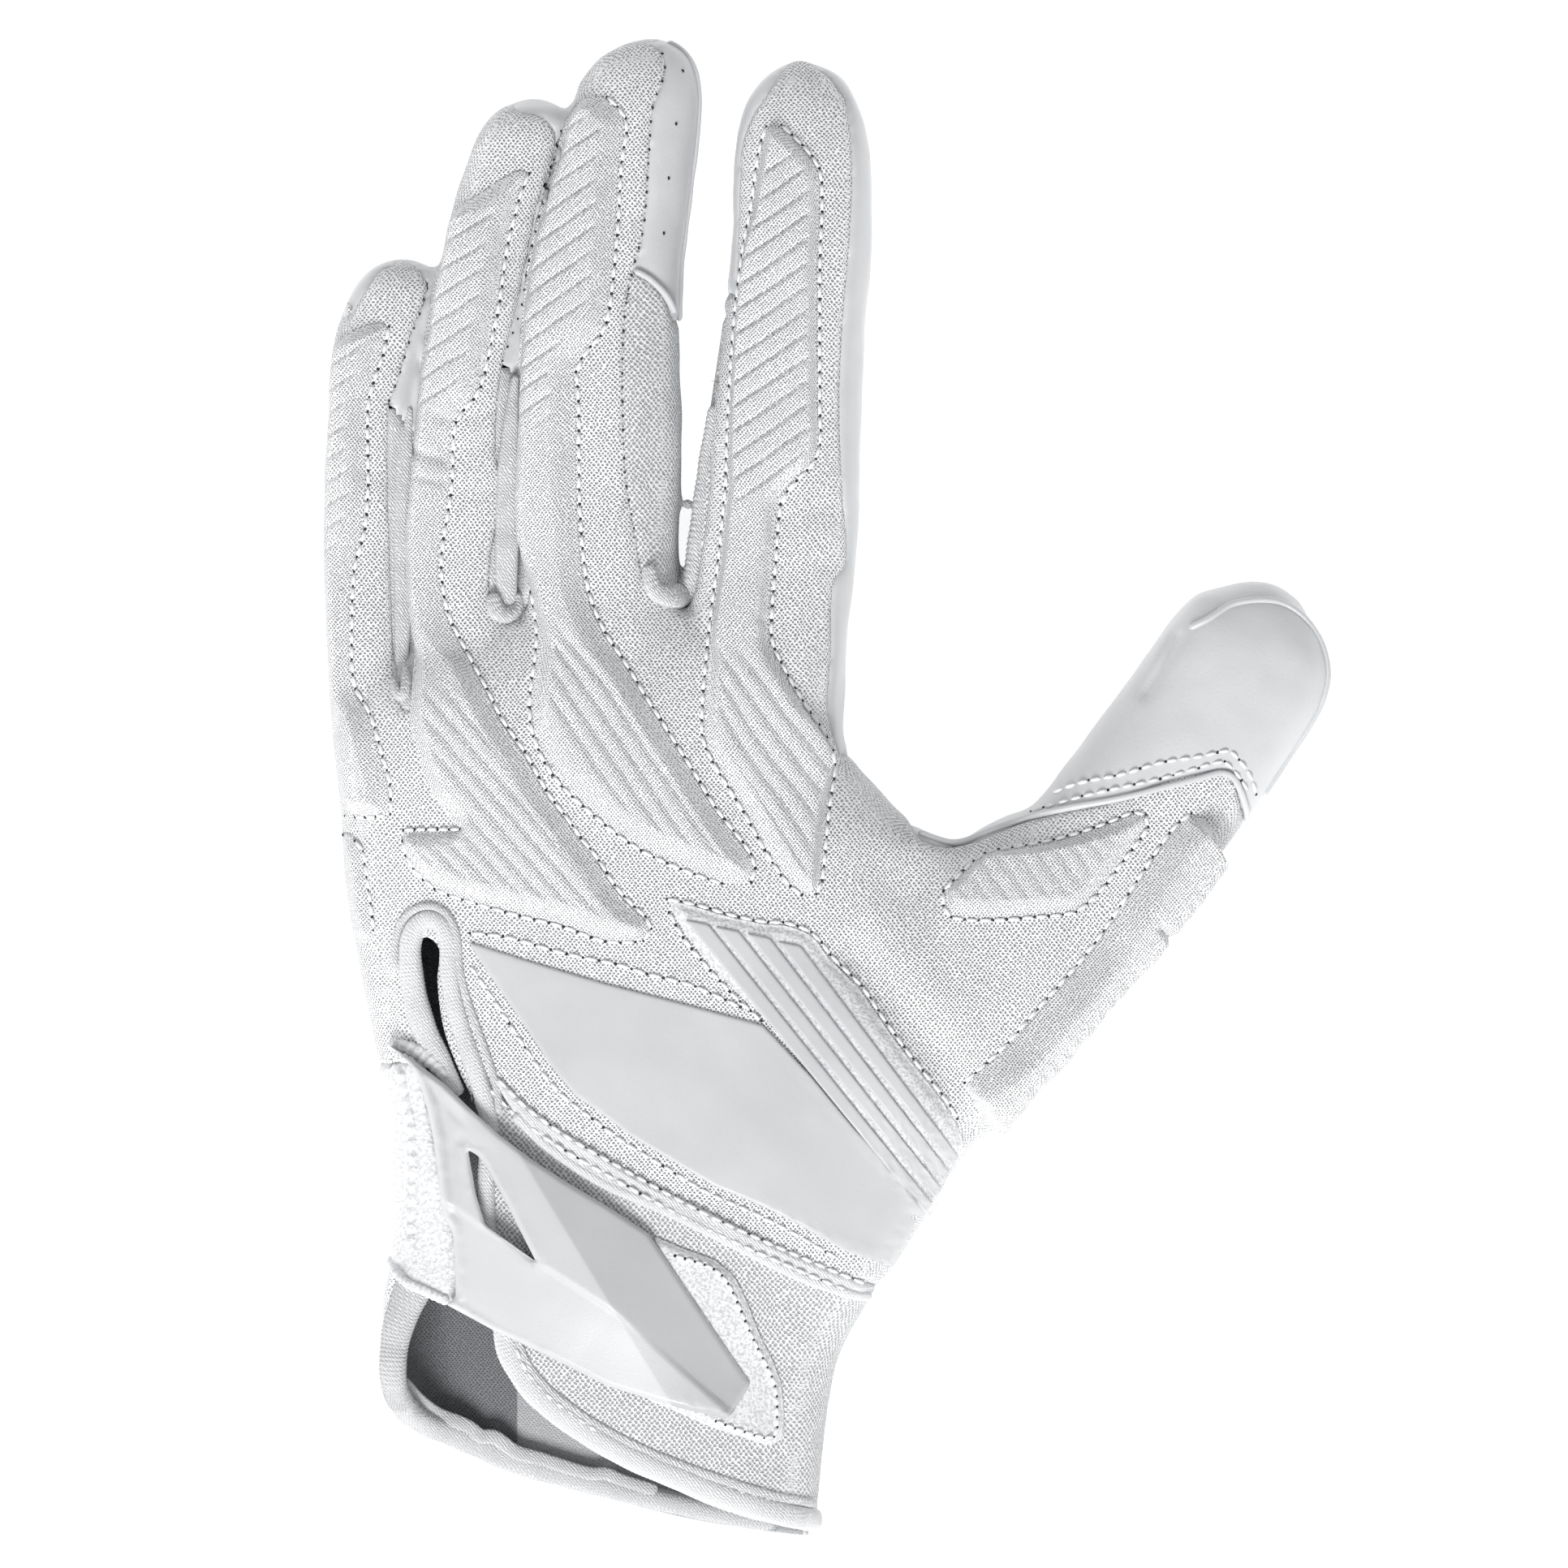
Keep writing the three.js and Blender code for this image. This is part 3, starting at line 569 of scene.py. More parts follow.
needleShadow = shadowDiscMaterial("paintedHoleShadow")

bpy.ops.mesh.primitive_plane_add(size=paper["size"])
floor = bpy.context.object
floor.name = "floor"
floor.data.materials.append(floorMaterial("floorPaper"))
print("materials made")


# The hand form: six tubes whose rows give y, left, right, middle height and half thickness

form = {
    "roundOver": 2.3,  # how square a section is over its middle
    "roundUnder": 3.0,  # and under it
    "fullUnder": 1.12,
    "ring": 56,  # points round a section
    "step": 1.0,  # spacing of the sections
    "voxel": 0.94,  # mesh size of the skin
    "relax": 6,  # how often the joined skin is smoothed
    "blend": 44,  # and how often the back of the hand is
}

pinkyRows = [
    [-1.5, -79.9, -66.4, 12, 12.5], [13.1, -81.5, -67.4, 11, 11.2], [18.4, -81.9, -68.8, 10.6, 10.8],
    [27.6, -82.3, -69.1, 10, 10], [38.2, -82.5, -69, 9.6, 9.2], [48.8, -82.3, -68.4, 9.6, 9],
    [59.4, -81.9, -67.4, 9.4, 8.8], [70, -81.4, -65.8, 8.8, 8.5], [76.7, -79.9, -64.7, 8.2, 8.1],
    [82, -77.2, -63.9, 7.6, 7.3], [85, -74.1, -65.2, 7, 5], [86.3, -70.4, -68.6, 6.8, 1],
]
ringRows = [
    [5.1, -69, -48.5, 14, 14], [13.1, -69, -48.5, 13.4, 13.2], [23.7, -68.4, -49.2, 12.6, 12],
    [32.9, -69.3, -51.1, 12, 11], [43.5, -69.1, -51.2, 11.8, 10.4], [54.1, -68.1, -50.9, 11.8, 10],
    [64.7, -66.7, -50.4, 11.6, 9.8], [75.3, -65.1, -49.2, 11, 9.6], [85.9, -63.3, -47.9, 10.2, 9.3],
    [93.9, -61.6, -46, 9.4, 9], [101.8, -59.2, -43.8, 8.7, 8.6], [107, -57.1, -42.6, 8.1, 7.9],
    [110.3, -54.2, -43, 7.4, 5.8], [112.3, -49.6, -47.2, 7, 1],
]
middleRows = [
    [5.1, -49.2, -21.1, 16, 16], [22.3, -50.2, -21.6, 15.2, 14], [30.3, -50.9, -23.9, 14.8, 12.4],
    [35.6, -50.9, -24.8, 14.6, 11.6], [46.2, -51.5, -24.2, 14.4, 10.8], [56.8, -51.2, -24, 14.2, 10.4],
    [67.4, -50.4, -24.2, 13.8, 10.2], [78, -49.5, -24.4, 13, 10], [88.6, -47.8, -23.6, 12, 9.8],
    [99.2, -44.9, -22.3, 10.8, 9.6], [107.1, -42.8, -21.5, 9.7, 9.2], [113.8, -41.1, -21.1, 8.7, 8.5],
    [118.4, -38.2, -22, 8, 6.8], [121.2, -34.1, -24.6, 7.4, 4.2], [122.4, -29.6, -28.6, 7.2, 1],
]
indexRows = [
    [-14, -20, -8, 14, 11], [-4, -22, -1.5, 15.5, 14.2], [5.1, -22.7, 2, 16, 15.5],
    [22.3, -24.2, 3, 14.8, 13.4], [30.3, -23.3, 3.7, 14.2, 12.2], [35.6, -22.8, 4.4, 13.8, 11.6],
    [46.2, -21.9, 5.2, 13.4, 10.8], [56.8, -20.3, 5.4, 13, 10.5], [67.4, -18.7, 5.7, 12.6, 10.3],
    [78, -17, 6.4, 12, 10.1], [88.6, -16, 6.9, 11.2, 9.9], [99.2, -15.6, 7, 10.2, 9.6],
    [107.1, -15, 6.2, 9.2, 8.9], [112.4, -13.4, 4.5, 8.3, 7.6], [116.1, -10.1, 2.1, 7.7, 5.2],
    [119.1, -5.2, -4.4, 7.4, 1],
]
palmRows = [
    [-127, -71.9, -2, 20, 20.3], [-110.2, -72.5, -1.2, 20, 20.3], [-103.5, -72.5, -0.5, 20, 20.3],
    [-94.3, -72.9, 1.2, 20, 20.4], [-89, -72.9, 3.4, 20, 20.5], [-83.7, -72.9, 6.6, 20, 20.5],
    [-78.4, -71.8, 10.7, 19.8, 20.5], [-70.4, -71.4, 15.8, 19.6, 20.4],
    [-62.5, -71.9, 20.5, 19.3, 20.2], [-57.2, -72.5, 23.7, 19.2, 20], [-43.9, -74.1, 22.4, 18.6, 19.6],
    [-30.7, -76.5, 20.7, 18, 19], [-17.4, -78.7, 20.5, 17.3, 18.5], [-10.2, -79.5, 20.6, 17, 18],
    [-8.4, -79.6, 18.6, 17, 17.9], [-7.2, -79.7, 14.8, 16.9, 17.8], [-4.2, -79.8, 11.6, 16.8, 17.6],
    [1.1, -80.2, 6.8, 16.5, 17.2], [6.4, -80.7, 2.8, 16.2, 16.9], [13.1, -79, 1.9, 15.6, 16],
    [21, -69, -2.8, 14.5, 14], [27.6, -55.8, -16, 13.5, 11.5],
]
# The thumb lies at a slant: x, y, half width, middle height and half thickness
thumbRows = [
    [-6, -62, 13, 17, 13], [2.5, -53, 18.6, 18.6, 17.6], [13, -39.7, 21.6, 18, 17.7],
    [35, -20.8, 17.3, 15, 15.2], [42.7, -14.9, 15.2, 13.8, 14], [52, -3.1, 14.5, 12.6, 12.8],
    [60.2, 8.1, 14.4, 11.7, 11.9], [68.1, 19.4, 14.2, 11, 11.1], [71.4, 23.5, 13.3, 10.4, 10.1],
    [73.8, 26.7, 10.1, 10, 8.4], [75.7, 29, 6.6, 9.6, 5.8], [77.1, 30.3, 0.4, 9.4, 1],
]


def tubeMesh(name, rows, slanted=False):
    # One closed tube through its sections
    stations = curveThrough(rows, form["step"])
    if slanted:
        centres, halves = stations[:, :2], stations[:, 2]
        along = np.gradient(centres, axis=0)
    else:
        centres = np.stack([(stations[:, 1] + stations[:, 2]) / 2, stations[:, 0]], 1)
        halves = (stations[:, 2] - stations[:, 1]) / 2
        along = np.tile([0.0, 1.0], (len(stations), 1))
    along = along / np.linalg.norm(along, axis=1, keepdims=True)
    mids, thick = stations[:, 3], stations[:, 4]
    count = form["ring"]
    angles = 2 * math.pi * np.arange(count) / count
    over = np.sin(angles) >= 0
    power = np.where(over, 2 / form["roundOver"], 2 / form["roundUnder"])
    across = np.sign(np.cos(angles)) * np.abs(np.cos(angles)) ** power
    up = np.abs(np.sin(angles)) ** power * np.where(over, 1.0, -form["fullUnder"])
    points = []
    for i in range(len(stations)):
        wide = across * max(halves[i], 0.2)
        x = centres[i, 0] + along[i, 1] * wide
        y = centres[i, 1] - along[i, 0] * wide
        z = np.maximum(0.0, mids[i] + up * max(thick[i], 0.3))
        points.append(np.stack([x, y, z], 1))
    points = np.concatenate(points)
    faces = []
    for i in range(len(stations) - 1):
        for k in range(count):
            a, b = i * count + k, i * count + (k + 1) % count
            faces.append((a, a + count, b + count, b))
    faces.append(tuple(range(count)))
    faces.append(tuple(range(len(points) - 1, len(points) - 1 - count, -1)))
    return newMesh(name, points, faces)


tubes = [tubeMesh("tube", rows) for rows in (pinkyRows, ringRows, middleRows, indexRows, palmRows)]
tubes.append(tubeMesh("tube", thumbRows, slanted=True))
deselectAll()
for tube in tubes:
    tube.select_set(True)
bpy.context.view_layer.objects.active = tubes[0]
bpy.ops.object.join()
handObject = bpy.context.view_layer.objects.active
handObject.name = "handForm"
voxels = handObject.modifiers.new("voxels", "REMESH")
voxels.mode = "VOXEL"
voxels.voxel_size = form["voxel"] * mm
soften = handObject.modifiers.new("soften", "SMOOTH")
soften.factor = 0.5
soften.iterations = form["relax"]
applyModifiers(handObject)
skinPoints, skinNormals, skinFaces = meshArrays(handObject)
print("hand form", len(skinPoints), "points")

# The fingers and the thumb run into the back of the hand without a crease
blend = ease(skinPoints[:, 1], -78, -66) * (1 - ease(skinPoints[:, 1], 14, 24))
blend *= ease(skinPoints[:, 2], 12, 18)
pairs = np.concatenate([skinFaces[:, [i, (i + 1) % 4]] for i in range(4)])
pairs = np.concatenate([pairs, pairs[:, ::-1]])
number = np.bincount(pairs[:, 0], minlength=len(skinPoints))[:, None]
for _ in range(form["blend"]):
    beside = skinPoints[pairs[:, 1]]
    total = np.stack([np.bincount(pairs[:, 0], beside[:, k], len(skinPoints)) for k in range(3)], 1)
    skinPoints += (total / number - skinPoints) * (0.6 * blend)[:, None]
skinNormals = pointNormals(skinPoints, skinFaces)

# Dents and folds that the cloth has before it is cut: a line, its half width and its depth
folds = [
    ([(5, -28), (12, -37), (19, -46), (24, -55)], 4.0, 2.2),  # between the thumb and the rubber ribs
    ([(56.8, 24.3), (54.5, 19.5), (51.8, 15)], 1.0, 1.0),  # dart at the thumb tip
    ([(-70.4, -45.2), (-69.7, -50.5), (-68.8, -54.5), (-68.6, -61.1), (-68.8, -67.8), (-69, -78.4)],
     0.9, 0.8),
    ([(-72.5, -26), (-72, -36), (-71.6, -43)], 1.2, 0.35),
    ([(-56, 56), (-60.5, 54), (-63, 55.5)], 1.5, 0.6),  # gathers at the ring finger's joint
    ([(-55.5, 61), (-58.5, 60)], 1.3, 0.5),
    ([(-55.5, 48), (-60, 47.5)], 1.6, 0.45),
    ([(-73.5, 50), (-77, 52)], 1.5, 0.4),
    ([(-42, 70), (-36, 74)], 1.6, 0.35),
    ([(-9, 42), (-3, 45), (2, 44)], 1.8, 0.4),
    ([(-6, 34), (0, 37)], 1.6, 0.35),
    ([(8, -12), (15, -20), (21, -30)], 5.0, 0.7),
]
top = skinNormals[:, 2] > 0.1
for line, reach, depth in folds:
    path = curveThrough(line, 0.5)
    close = (skinPoints[:, :2] > path.min(0) - 12) & (skinPoints[:, :2] < path.max(0) + 12)
    near = np.nonzero(top & close.all(1))[0]
    away = distanceTo(skinPoints[near], path)
    skinPoints[near, 2] -= depth * np.exp(-((away / reach) ** 2)) * ease(skinNormals[near, 2], 0.1, 0.5)

# A slow unevenness, as in cloth that lies empty
for i in np.nonzero(skinPoints[:, 2] > 1.0)[0]:
    p = Vector(skinPoints[i])
    shift = 0.35 * noise.noise(p / 13.0) + 0.14 * noise.noise(p / 5.0 + Vector((9, 3, 1)))
    skinPoints[i] += skinNormals[i] * shift
skinPoints[:, 2] = np.maximum(skinPoints[:, 2], 0.02)
skinNormals = pointNormals(skinPoints, skinFaces)
skinCentres = skinPoints[skinFaces].mean(1)
skinTree = BVHTree.FromPolygons(skinPoints.tolist(), skinFaces.tolist())


def dropOn(tree, x, y, fallback=0.0):
    hit = tree.ray_cast(Vector((x, y, 120.0)), Vector((0, 0, -1)))
    if hit[0] is None:
        return fallback, Vector((0, 0, 1))
    return hit[0].z, hit[1]


# Panels: patches cut out of the skin along seam lines

seamStep = 0.4  # spacing of the points on a seam line
panelStyle = {
    "wall": 1.4,
    "seamDip": 0.45, "seamReach": 0.8,  # how deep a seam is pressed in, and how far from it
    "snap": 1.3,  # how far a ragged border may move onto its seam
}
floorSeam = 7.6  # height of the seam between palm and back
slitFloor = 12.0
sideWallTop = 25.0


def far(line, *corners):
    # A zone between a smooth seam line and corners well outside the glove
    return np.vstack([curveThrough(line, seamStep), np.array(corners, float)])


thumbWrapZone = far(
    [(14, 0), (14.4, -7.8), (21.1, -9.5), (33, -5.2), (47.6, -2.2), (57, 1.2), (64.1, 2.1), (65.9, 1.4),
     (68.8, -6.8), (70, -9)], (90, -9), (90, 40), (14, 40))
middleTipZone = far(
    [(-30.5, 124), (-28.4, 121), (-27, 119.6), (-26.6, 117.2), (-27.3, 114.4), (-28.6, 111),
     (-29, 107.1), (-29.3, 101.8), (-29.5, 96.5), (-30.1, 91.2), (-30.7, 87.3), (-31.9, 84.2),
     (-29.5, 82.9), (-26.8, 80.2), (-25, 76)], (-18.8, 74), (-18.8, 126), (-30.5, 126))
ringRimZone = far(
    [(-53, 113), (-50.4, 110.3), (-48.2, 109.9), (-46.4, 109.2), (-45.1, 108.1), (-44.4, 106.7),
     (-44.4, 105.1), (-45, 102.2), (-46, 99), (-47.2, 95.2), (-48.4, 89.9), (-49.2, 85.9), (-49.9, 82),
     (-50.7, 78), (-51.6, 74.6), (-53.1, 69)],
    (-49.5, 66), (-42, 80), (-38, 113))
pinkyTipZone = far(
    [(-70.5, 88), (-68, 85.6), (-66.1, 83.7), (-65.4, 82), (-65.7, 80), (-66.6, 77.3), (-67.6, 74.7),
     (-68.5, 72), (-69.1, 70), (-69.8, 67.4), (-70.6, 65),
     (-71.9, 62.5)], (-67.4, 58), (-60.6, 66), (-60.6, 88))
indexRimZone = far(
    [(-4, 121), (-2.8, 118.4), (0, 116.2), (1.9, 113.7), (3.2, 111.1), (4.1, 101.8), (3.6, 88.6),
     (2.5, 75.3), (2, 62), (2.5, 48.8), (3.2, 37), (1, 33), (0.7, 23), (0.3, 11.7), (2, 5)],
    (12, 5), (12, 126))
indexLeftZone = far(
    [(-5, 121), (-8, 116.5), (-10, 113.5), (-12.5, 110), (-14.4, 105), (-14.8, 100), (-15.4, 80)],
    (-20, 80), (-20, 126))
pinkyRimZone = far(
    [(-70, 87), (-71, 85.6), (-73.5, 84.4), (-76, 81), (-78.3, 77)], (-86, 76), (-86, 90))
indexFourchetteZone = far(
    [(-32.2, 83.9), (-33.3, 76), (-33.5, 62), (-33, 50), (-31.9, 43.5), (-30.5, 36), (-29.5, 33),
     (-26.4, 30.2), (-23, 30), (-21.5, 36), (-19.8, 48), (-19.6, 56),
     (-18.4, 66)], (-17, 77), (-23, 79), (-28, 81))
middleFourchetteZone = far(
    [(-53, 68.9), (-53.9, 62), (-54, 54), (-52.9, 50), (-53.1, 46), (-54.9, 37), (-54.9, 30), (-53, 27),
     (-50.4, 27.4)], (-48.9, 32), (-49.5, 60), (-49, 71))
ringFourchetteZone = far(
    [(-71.9, 62.4), (-71.8, 50), (-71.4, 38), (-70.8, 24), (-70.4, 15), (-69.2, 12.6), (-67.4, 13)],
    (-66.6, 22), (-67.5, 40), (-66, 60))
cuffZone = far(
    [(-57, -46), (-49.2, -54.4), (-42.5, -58.8), (-26.6, -67.3), (-5.4, -77.7), (8.5, -82.3),
     (20, -86)], (30, -88), (30, -140), (-60.5, -140), (-60.5, -84))
elasticEnd = [(-90, -76), (-74, -76.5), (-71.4, -78.1), (-69, -80.8), (-65.7, -82.3), (-60.5, -84.6)]
strapBaseTop = [(-90, -45.2), (-69, -45.2), (-66.5, -44.6), (-64, -46), (-60.5, -50)]
strapBaseZone = np.vstack([curveThrough(strapBaseTop, seamStep), curveThrough(elasticEnd, seamStep)[::-1]])
palmCuffZone = np.array([[-95, -80], [60, -80], [60, -140], [-95, -140]], float)
sideWallZone = np.vstack([curveThrough(elasticEnd, seamStep),
                          np.array([[-60.5, -140], [-95, -140]], float)])

backHemLine = [(-54.2, -84), (-54.2, -89.6), (-53.1, -92.9), (-49.2, -99.3), (-42.5, -104.9),
               (-29.3, -112.2), (-16, -118.1), (-2.8, -121.4), (6, -123)]
palmHemLine = [(-78, -84), (-73.4, -89), (-72.3, -96.9), (-69, -103.3), (-55.8, -110.6),
               (-42.5, -114.8), (-22.7, -120.1), (-5.4, -122.4), (6, -122.4)]
keyholeInner = [(-60.5, -84), (-61.4, -72), (-62.7, -66), (-64.8, -57), (-66.4, -48), (-66.8, -41),
                (-68.2, -34), (-68.7, -28.5), (-68, -25.6), (-65.7, -24.6), (-63.6, -26.6),
                (-63.9, -32), (-62.9, -39.5), (-60.5, -46), (-57.5, -52.5), (-55, -60)]
slitZone = np.vstack([curveThrough(keyholeInner, seamStep), curveThrough(backHemLine, seamStep),
                      np.array([[6, -140], [-60.5, -140]], float)])
palmHemZone = np.vstack([curveThrough(palmHemLine, seamStep),
                         np.array([[6, -140], [-95, -140], [-95, -84]], float)])

height = skinCentres[:, 2]
free = ~(inside(skinCentres, slitZone) & (height > slitFloor))
free &= ~inside(skinCentres, palmHemZone)
free &= ~(inside(skinCentres, sideWallZone) & (height > sideWallTop))


def snapBorder(points, border, lines, levels):
    # Moves a patch's ragged border onto the seam lines, along the skin
    if len(lines):
        lineTree = treeOf(np.vstack(lines))
    for i in border:
        place = Vector(points[i])
        flat = lineTree.find((place.x, place.y, 0.0)) if len(lines) else (None, 0, 99.0)
        level = min(levels, key=lambda h: abs(place.z - h)) if levels else None
        byLevel = abs(place.z - level) if levels else 99.0
        if min(flat[2], byLevel) > panelStyle["snap"]:
            continue
        for _ in range(3):
            if flat[2] <= byLevel:
                place.x, place.y = flat[0].x, flat[0].y
            else:
                place.z = level
            place = skinTree.find_nearest(place)[0]
        points[i] = place


def thicken(points, faces, normals, wall):
    # Gives a patch a wall behind its outer face, closed round its border
    count = len(points)
    inner = points - normals * wall
    inner[:, 2] = np.maximum(inner[:, 2], 0.25 * np.minimum(1.0, points[:, 2] + 1))
    _, rim = borderOf(faces)
    sides = [(b, a, a + count, b + count) for a, b in rim]
    back = [tuple(f[::-1] + count) for f in faces]
    return np.vstack([points, inner]), [tuple(f) for f in faces] + sides + back, len(back)


def cutPanel(name, mask, lines, levels, cloth, node):
    mask = mask & free
    free[mask] = False
    faces = skinFaces[mask]
    used, index = np.unique(faces, return_inverse=True)
    faces = index.reshape(faces.shape)
    points = skinPoints[used].copy()
    border, _ = borderOf(faces)
    snapBorder(points, border, lines, levels)
    normals = pointNormals(points, faces)
    away = distanceTo(points, points[border], flat=False)
    pressed = panelStyle["seamDip"] * np.exp(-((away / panelStyle["seamReach"]) ** 2))
    points -= normals * pressed[:, None]
    points[:, 2] = np.maximum(points[:, 2], 0.0)
    points, faces, inner = thicken(points, faces, normals, panelStyle["wall"])
    panel = newMesh(name, points, faces, inner)
    panel.data.materials.append(cloth)
    # The inner faces take the lining, painted dark as shade
    panel.data.materials.append(liningShade)
    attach(panel, "root")
    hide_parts(node)
    print("panel", name, len(faces), "faces")
    return panel


centreX, centreY = skinCentres[:, 0], skinCentres[:, 1]
palmCuffLine = curveThrough([(-90, -80), (60, -80)], seamStep)
inCuff = inside(skinCentres, palmCuffZone) & (height < floorSeam)
inCuff |= inside(skinCentres, sideWallZone)
# Between the thumb and the index finger the back reaches down nearly to the floor
atCrotch = (centreX > 1) & (centreX < 24) & (centreY > -14) & (centreY < 14)
inPalm = height < np.where(atCrotch, 2.5, floorSeam)
for zone in (middleTipZone, indexRimZone, indexLeftZone, pinkyRimZone, pinkyTipZone):
    inPalm |= inside(skinCentres, zone)
ringEdge = np.interp(centreY, [62, 80, 95, 112], [-50.6, -48.9, -46.1, -41.5])
inPalm |= inside(skinCentres, ringRimZone) & (centreX < ringEdge)
palmLines = [thumbWrapZone, ringRimZone, pinkyTipZone, middleTipZone, indexRimZone, indexLeftZone,
             pinkyRimZone]
gussetZones = {"index_middle": indexFourchetteZone, "middle_ring": middleFourchetteZone,
               "ring_pinky": ringFourchetteZone}
backLines = palmLines + list(gussetZones.values()) + [cuffZone, strapBaseZone, slitZone]

panels = [
    cutPanel("thumb_leather", inside(skinCentres, thumbWrapZone), [thumbWrapZone], [], leather,
             "thumb_wrap"),
    cutPanel("cuff_knit", inCuff,
             [palmCuffLine, curveThrough(elasticEnd, seamStep), curveThrough(palmHemLine, seamStep)],
             [floorSeam, sideWallTop], knitCuff, "palm_cuff"),
    cutPanel("palm_leather", inPalm, palmLines + [palmCuffLine], [floorSeam], leather, "palm_panel"),
]
for side, zone in gussetZones.items():
    cloth = knitCoarse if side == "index_middle" else twill
    panels.append(cutPanel(f"gusset_{side}", inside(skinCentres, zone), [zone, middleTipZone],
                           [floorSeam], cloth, f"fourchette_{side}"))
panels.append(cutPanel("strap_elastic", inside(skinCentres, strapBaseZone), [strapBaseZone, slitZone],
                       [floorSeam], boucle, "strap_base"))
panels.append(cutPanel("flap_knit", inside(skinCentres, cuffZone), [cuffZone, slitZone, palmHemZone],
                       [floorSeam], knitCoarse, "cuff_flap"))
panels.append(cutPanel("back_knit", np.ones(len(skinFaces), bool), backLines, [floorSeam], knitBack,
                       "back_panel"))
bpy.data.objects.remove(handObject)


# Pads: finer patches of the skin, raised behind a pressed edge, with sunk lines across the fingers and
# soft ridges over the knuckles

padStyle = {
    "edge": 0.22,  # thickness at the stitched edge
    "rise": 2.5,  # height of the foam behind it
    "edgeFrom": 0.15, "edgeTo": 3.0,  # how far from the edge the foam starts and is full
}


def rimLoops(rim):
    # The border edges of a patch, chained into loops
    following = {int(a): int(b) for a, b in rim}
    loops = []
    while following:
        start, at = next(iter(following.items()))
        del following[start]
        loop = [start]
        while at in following and at != start:
            loop.append(at)
            at = following.pop(at)
        loops.append(loop)
    return loops


def padPatch(outline, lowest, levels):
    # The part of the skin inside an outline, made finer
    mask = inside(skinCentres, outline) & (skinCentres[:, 2] > lowest)
    faces = skinFaces[mask]
    used, index = np.unique(faces, return_inverse=True)
    faces = index.reshape(faces.shape)
    points = skinPoints[used].copy()
    border, _ = borderOf(faces)
    snapBorder(points, border, [outline], [])
    raw = newMesh("padRaw", points, faces)
    finer = raw.modifiers.new("finer", "SUBSURF")
    finer.levels = levels
    finer.render_levels = levels
    applyModifiers(raw)
    points, normals, faces = meshArrays(raw)
    bpy.data.objects.remove(raw)
    border, _ = borderOf(faces)
    return points, faces, border


def stripes(points, direction, pitch):
    # Distance across parallel lines that run in a direction, in turns of the pitch
    angle = math.radians(direction)
    across = -math.sin(angle) * points[:, 0] + math.cos(angle) * points[:, 1]
    return across / pitch


def makePad(name, node, outline, settings):
    points, faces, border = padPatch(outline, settings["lowest"], settings.get("levels", 1))
    normals = pointNormals(points, faces)
    fine = distanceTo(points, points[border], flat=False)
    facing = ease(normals[:, 2], *settings.get("facing", (0.2, 0.78)))
    flatter = ease(normals[:, 2], *settings.get("flatter", (0.5, 0.85)))
    full = settings.get("edgeTo", padStyle["edgeTo"])
    slope = np.clip((fine - padStyle["edgeFrom"]) / (full - padStyle["edgeFrom"]), 0, 1)
    foam = 0.7 * slope + 0.3 * slope * slope * (3 - 2 * slope)
    lift = padStyle["edge"] + padStyle["rise"] * settings.get("fullness", 1.0) * foam
    for low, high, direction, pitch, depth in settings.get("grooves", []):
        turn = stripes(points, direction, pitch)
        near = np.abs(turn - np.round(turn)) * pitch
        band = ease(points[:, 1], low - 3, low + 2) * (1 - ease(points[:, 1], high - 1.5, high + 0.5))
        lean = 0.5 - (turn - np.floor(turn))
        cut = depth * np.exp(-((near / 0.36) ** 2)) + 0.4 * depth * lean
        lift -= cut * band * flatter * ease(fine, full - 0.5, full + 0.25)
    for low, high, direction, pitch, depth in settings.get("ridges", []):
        wave = 0.5 - 0.5 * np.cos(2 * math.pi * stripes(points, direction, pitch))
        band = ease(points[:, 1], low - 3, low + 3) * (1 - ease(points[:, 1], high - 4, high + 3))
        lift += depth * (wave ** 0.5 - 0.65) * band * flatter * ease(fine, full - 0.6, full + 0.8)
    for line, reach, depth in settings.get("puckers", []):
        away = distanceTo(points, curveThrough(line, seamStep))
        lift -= depth * np.exp(-((away / reach) ** 2))
    lift = 0.1 + np.maximum(lift, 0.12) * facing
    upper = points + normals * lift[:, None]
    _, rim = borderOf(faces)
    number = {int(v): len(points) + i for i, v in enumerate(border)}
    lower = points[border] - normals[border] * 0.15
    sides = [(int(b), int(a), number[int(a)], number[int(b)]) for a, b in rim]
    back = [[number[v] for v in loop[::-1]] for loop in rimLoops(rim) if len(loop) > 2]
    pad = newMesh(name, np.vstack([upper, lower]), [tuple(f) for f in faces] + sides + back)
    pad.data.materials.append(knitPad)
    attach(pad, "root")
    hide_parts(node)
    print("pad", name, len(faces), "faces")
    return pad


